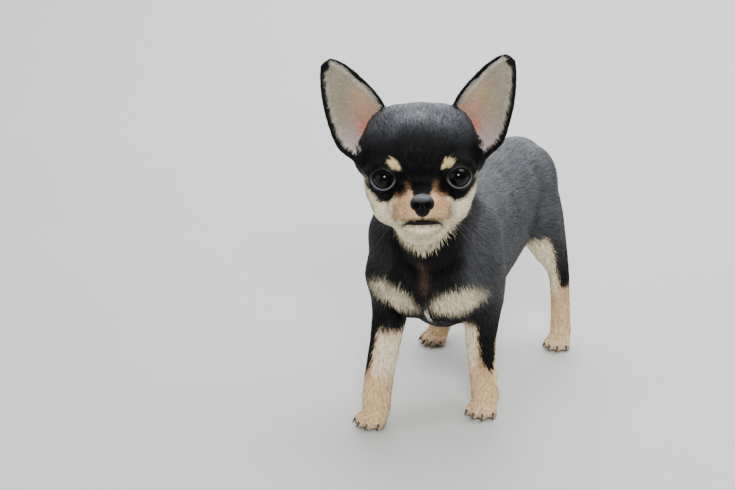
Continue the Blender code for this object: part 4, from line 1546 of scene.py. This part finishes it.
def coat_material():
    """Short sleek hair: the painted markings with a little unevenness from hair to hair."""
    nodes = Nodes("short_coat")
    nodes.painted(900, 2, dark=0.75, light=1.25)
    nodes.link(nodes.uneven(300, 2, 0.42, 0.55), nodes.shader.inputs["Roughness"])
    nodes.set(Specular_IOR_Level=0.1)
    return nodes.material


def skin_material():
    """Skin under the coat: the same markings, with fine pores and hair roots."""
    nodes = Nodes("skin_under_coat")
    nodes.painted(1400, 3, dark=0.8, light=1.15)
    nodes.bump(nodes.noise(1600, 3), strength=0.35, distance=0.0004)
    nodes.set(Roughness=0.6, Specular_IOR_Level=0.1)
    return nodes.material


def eye_material():
    nodes = Nodes("eye_wet")
    nodes.painted(1200, 3, dark=0.7, light=1.3)
    nodes.set(Roughness=0.05, Specular_IOR_Level=0.17)
    return nodes.material


def lid_material():
    nodes = Nodes("lid_edge")
    nodes.painted(1500, 3, dark=0.8, light=1.2)
    nodes.bump(nodes.noise(2500, 2), strength=0.25, distance=0.0002)
    nodes.set(Roughness=0.36, Specular_IOR_Level=0.16)
    return nodes.material


def nose_material():
    """Moist leather broken into small pads."""
    nodes = Nodes("nose_leather")
    cells = nodes.add("ShaderNodeTexVoronoi", Scale=1150.0)
    cells.feature = "DISTANCE_TO_EDGE"
    nodes.link(nodes.coordinates(), cells.inputs["Vector"])
    pads = nodes.ramp(cells.outputs["Distance"], 0.0, 0.25, 0.0, 1.0)
    nodes.painted(500, 3, dark=0.7, light=1.35)
    nodes.bump(pads, strength=0.6, distance=0.0002)
    nodes.set(Roughness=0.34, Specular_IOR_Level=0.1)
    return nodes.material


def claw_material():
    nodes = Nodes("claw_horn")
    nodes.painted(900, 3, dark=0.7, light=1.3)
    nodes.bump(nodes.noise(1800, 2), strength=0.2, distance=0.0002)
    nodes.set(Roughness=0.35, Specular_IOR_Level=0.5)
    return nodes.material


def floor_material():
    nodes = Nodes("studio_floor")
    shade = nodes.add("ShaderNodeRGB")
    shade.outputs[0].default_value = FLOOR_COLOUR
    nodes.tinted(shade.outputs[0], nodes.uneven(6, 3, 0.97, 1.0))
    nodes.set(Roughness=0.7)
    return nodes.material


# Eyes, lids, nose, claws and whiskers

LID_STEPS = 96
LID_RING_POINTS = 12
NOSE_VOXEL = 0.22
NOSE_ROUNDS = 9
NOSTRIL_DEPTH = 2.4
SLIT_DEPTH = 0.95
GROOVE_DEPTH = 0.55
CLAW_LENGTH = 3.3
CLAW_RADIUS = 0.95
CLAW_ROWS = 7
CLAW_RING_POINTS = 10
WHISKER_ROWS = 9
WHISKER_RING_POINTS = 5


def make_eye(side, material):
    """The eyeball with its cornea, dark iris and pupil."""
    word = SIDE_WORDS[side]
    shape = bmesh.new()
    bmesh.ops.create_uvsphere(shape, u_segments=72, v_segments=64, radius=EYE_RADIUS)
    for vertex in shape.verts:
        direction = vertex.co.normalized()
        # Where the cornea stands further out than the ball, the surface follows it
        inside = CORNEA_FORWARD * direction.z
        reach = inside + math.sqrt(max(inside ** 2 - CORNEA_FORWARD ** 2 + CORNEA_RADIUS ** 2, 0))
        vertex.co = direction * max(EYE_RADIUS, reach)
    eye = bmesh_object("eyeball_" + word, shape)
    points = coordinates(eye.data)
    behind = points[:, 2] < 0
    radius = np.hypot(points[:, 0], points[:, 1])
    colours = plain(EYE_EDGE, len(points))
    colours = laid(colours, ~behind * (1 - over(radius, IRIS_RADIUS, 0.5)), IRIS_BROWN)
    colours = laid(colours, ~behind * (1 - over(radius, PUPIL_RADIUS, 0.6)), PUPIL_BLACK)
    eye.data.transform(eye_matrix(side) @ Matrix.Rotation(math.radians(90), 4, "X"))
    dressed(eye, colours, material, "eye_glass_" + word, "eye_" + word)


def make_lid(side, material):
    """The bare edge of the lids, as a soft band round the opening."""
    shape = bmesh.new()
    rings = []
    for step in range(LID_STEPS):
        angle = 2 * math.pi * step / LID_STEPS
        middle = lid_point(angle, LID_LIFT)
        along = (lid_point(angle + 0.02, LID_LIFT) - middle).normalized()
        outward = middle.normalized()
        corner = abs(math.cos(angle)) ** 6
        width = 0.85 + 0.3 * corner - 0.25 * max(math.sin(angle), 0)
        halves = (width, LID_LIFT)
        rings.append(
            new_ring(shape, middle, outward.cross(along), outward, halves, LID_RING_POINTS)
        )
    join_rings(shape, rings, closed=True)
    bmesh.ops.recalc_face_normals(shape, faces=shape.faces)
    lid = bmesh_object("lid_edge_" + SIDE_WORDS[side], shape)
    points = coordinates(lid.data)
    share, angle = lid_share(points)
    # Grey on the lower lid's edge is a painted glint of its wet rim.
    lower_glint = smooth_step(-np.sin(angle) * 1.1 + 0.35)
    colours = laid(plain(LID_BLACK, len(points)), lower_glint * under(share, 1.12, 0.08), LID_WET_GLINT)
    lid.data.transform(eye_matrix(side))
    dressed(lid, colours, material, "coat_head")


def nose_form(shape):
    """Wide on top, with a wing round each nostril, and narrow towards the lip."""
    x, y, z = NOSE_CENTRE
    top = (NOSE_HALF_WIDTH * 0.92, 4.8, 4.0)
    blob(shape, (x, y + 0.3, z + 2.1), top, HEAD, segments=48)
    blob(shape, (x, y - 0.2, z - 2.4), (4.4, 3.9, 4.6), HEAD, segments=48)
    for side in SIDES:
        spot = (side * NOSE_HALF_WIDTH * 0.55, y + 0.4, z + 0.4)
        blob(shape, spot, (3.1, 4.2, 3.7), HEAD, segments=48)


def make_nose(material):
    """The nose leather, with nostrils and the groove between them pressed in."""
    shape = bmesh.new()
    nose_form(shape)
    nose = blended(bmesh_object("nose_pad", shape), NOSE_VOXEL, NOSE_ROUNDS)
    points = coordinates(nose.data)
    x, y, z = (moved(points, HEAD_BACK) - np.array(NOSE_CENTRE)).T
    front = y < 0.5
    from_middle = np.abs(x)
    hole = oval(from_middle, z, *NOSTRIL) * front
    slit = stroke(z, -0.5 - 0.35 * (from_middle - 3.6), 0.45) * (y < 2.5)
    slit = slit * over(from_middle, 3.0, 0.8) * under(from_middle, 6.4, 0.8)
    groove = stroke(x, 0, 0.38) * under(z, 1.8, 2) * front
    depth = NOSTRIL_DEPTH * hole + SLIT_DEPTH * slit + GROOVE_DEPTH * groove
    set_coordinates(nose.data, points - vertex_normals(nose.data) * depth[:, None])
    # Grey on the top of the leather is a painted highlight.
    colours = laid(plain(NOSE_BLACK, len(points)), 0.85 * over(z, 1.4, 3.6), NOSE_TOP_HIGHLIGHT)
    colours = laid(colours, np.maximum(hole, slit * 0.7), NOSTRIL_BLACK)
    dressed(nose, colours, material, "nose_leather", "nose")


def add_claw(shape, place):
    """A short claw that curves down and narrows to its tip."""
    across, deep = Vector((1, 0, 0)), Vector((0, 0, 1))
    rings = []
    for row in range(CLAW_ROWS):
        part = row / (CLAW_ROWS - 1)
        drop = 0.62 * part * (0.3 + 0.75 * part)
        middle = Vector((0, -CLAW_LENGTH * part * 0.72, -CLAW_LENGTH * drop))
        radius = CLAW_RADIUS * (1 - part) ** 0.7 + 0.12
        halves = (0.8 * radius, radius)
        rings.append(new_ring(shape, middle, across, deep, halves, CLAW_RING_POINTS, place))
    join_rings(shape, rings)


def make_claws(material):
    """Short curved claws, one at the end of each toe."""
    shape = bmesh.new()
    for leg in LEGS.values():
        matrix = paw_matrix(leg)
        for centre, radii, turn in toe_places():
            tip = Vector((math.sin(turn) * radii.y, -radii.y * 0.8, 0.3))
            place = matrix @ Matrix.Translation(centre + tip) @ Matrix.Rotation(turn, 4, "Z")
            add_claw(shape, place)
    bmesh.ops.recalc_face_normals(shape, faces=shape.faces)
    claws = bmesh_object("claws", shape)
    points = coordinates(claws.data)
    points[:, 2] = np.maximum(points[:, 2], FLOOR_GAP)
    set_coordinates(claws.data, points)
    dressed(claws, plain(CLAW_HORN, len(points)), material, "coat_foreleg_left")


def whisker_roots():
    """Where each whisker starts in the head's frame, and its length."""
    for row in range(2):
        for number in range(4):
            spot = (11 + 0.6 * number, -19 + 3 * number, -17.5 - 2.4 * row)
            yield spot, 7 + 3 * number
    yield (6, -16, -28), 5
    yield (9, -11, -29), 6


def add_whisker(shape, root, direction, length):
    """A fine hair that droops and thins towards its tip."""
    first = direction.orthogonal().normalized()
    second = direction.cross(first)
    rings = []
    for row in range(WHISKER_ROWS):
        part = row / (WHISKER_ROWS - 1)
        droop = Vector((0, 0, -0.12 * length * part * part))
        middle = root + direction * (length * part) + droop
        radius = 0.025 + 0.06 * (1 - part)
        halves = (radius, radius)
        rings.append(new_ring(shape, middle, first, second, halves, WHISKER_RING_POINTS))
    join_rings(shape, rings)


def make_whiskers(tree, material):
    """A few fine whiskers from the pads of the upper lip and the chin."""
    shape = bmesh.new()
    for spot, length in whisker_roots():
        for side in SIDES:
            near = HEAD @ Vector((side * spot[0], spot[1], spot[2]))
            root, normal, _, _ = tree.find_nearest(near)
            back = HEAD.to_3x3() @ Vector((side * 0.6, 0.3, -0.42))
            reach = length * (0.85 + 0.3 * RANDOM.random())
            add_whisker(shape, root - normal * 0.4, (normal + back).normalized(), reach)
    bmesh.ops.recalc_face_normals(shape, faces=shape.faces)
    whiskers = bmesh_object("whiskers", shape)
    colours = plain(WHISKER_GREY, len(whiskers.data.vertices))
    dressed(whiskers, colours, material, "coat_head")


# Studio, in metres

FLOOR_HALF_SIZE = 6
FLOOR_COLOUR = (0.44, 0.45, 0.43, 1)
ROOM_COLOUR = (0.9, 0.93, 0.92, 1)
ROOM_STRENGTH = 0.3
LIGHTS_AIM = Vector((0, -0.03, 0.12))
COOL_WHITE = (0.95, 0.98, 1.0)
WHITE = (1, 1, 1)
# Place, size, power and colour of each light
LIGHTS = {
    "sky": ((0.0, 0.55, 1.25), (1.7, 1.3), 46, COOL_WHITE),
    "rim": ((-0.5, 1.5, 0.75), (1.2, 0.6), 20, COOL_WHITE),
    "key": ((0.62, -1.15, 1.2), (0.42, 0.36), 27, WHITE),
    "fill": ((-0.9, -0.9, 0.5), (0.9, 0.9), 4, WHITE),
}


def make_floor():
    shape = bmesh.new()
    bmesh.ops.create_grid(shape, x_segments=1, y_segments=1, size=FLOOR_HALF_SIZE)
    floor = bmesh_object("floor", shape, triangles=False)
    floor.data.materials.append(floor_material())


def make_camera():
    """The photo's view: a long lens from the front left, a little above."""
    right = Vector((math.cos(CAMERA_AZIMUTH), math.sin(CAMERA_AZIMUTH), 0))
    level = Vector((-math.sin(CAMERA_AZIMUTH), math.cos(CAMERA_AZIMUTH), 0))
    ahead = level * math.cos(CAMERA_ELEVATION) - Vector((0, 0, math.sin(CAMERA_ELEVATION)))
    up = right.cross(ahead)
    off_x = (TARGET_PIXEL[0] - IMAGE_WIDTH / 2) * CAMERA_DISTANCE / CAMERA_FOCAL
    off_y = (IMAGE_HEIGHT / 2 - TARGET_PIXEL[1]) * CAMERA_DISTANCE / CAMERA_FOCAL
    place = TARGET + SHIFT - ahead * CAMERA_DISTANCE - right * off_x - up * off_y
    camera = bpy.data.cameras.new("photo_camera")
    camera.sensor_width = SENSOR_WIDTH
    camera.lens = SENSOR_WIDTH * CAMERA_FOCAL / IMAGE_WIDTH
    camera.clip_start = 0.05
    camera.clip_end = 20
    view = new_object("photo_camera", camera)
    turn = Matrix((right, up, -ahead)).transposed().to_4x4()
    view.matrix_world = Matrix.Translation(place * MM) @ turn
    bpy.context.scene.camera = view


def make_lights():
    for name, (place, size, power, colour) in LIGHTS.items():
        light = bpy.data.lights.new(name, "AREA")
        light.shape = "RECTANGLE"
        light.size, light.size_y = size
        light.energy = power
        light.color = colour
        turn = (LIGHTS_AIM - Vector(place)).to_track_quat("-Z", "Y").to_matrix().to_4x4()
        new_object(name, light).matrix_world = Matrix.Translation(Vector(place)) @ turn
    world = bpy.data.worlds.new("studio")
    world.use_nodes = True
    background = world.node_tree.nodes["Background"]
    background.inputs["Color"].default_value = ROOM_COLOUR
    background.inputs["Strength"].default_value = ROOM_STRENGTH
    bpy.context.scene.world = world


def main():
    make_camera()
    make_lights()
    make_floor()
    skin = make_skin()
    points = coordinates(skin.data)
    paint(skin.data, coat_colours(points, ear_places(points)) * SKIN_SHADE)
    skin.data.materials.append(skin_material())
    tree = BVHTree.FromObject(skin, bpy.context.evaluated_depsgraph_get())
    make_coat(skin, tree, coat_material())
    make_whiskers(tree, claw_material())
    finished(
        skin, "coat_black", "torso", "neck", "head", "tail", "ear_left", "ear_right",
        "foreleg_left", "foreleg_right", "hindleg_left", "hindleg_right",
    )
    eyes, lids = eye_material(), lid_material()
    for side in SIDES:
        make_eye(side, eyes)
        make_lid(side, lids)
    make_nose(nose_material())
    make_claws(claw_material())


main()
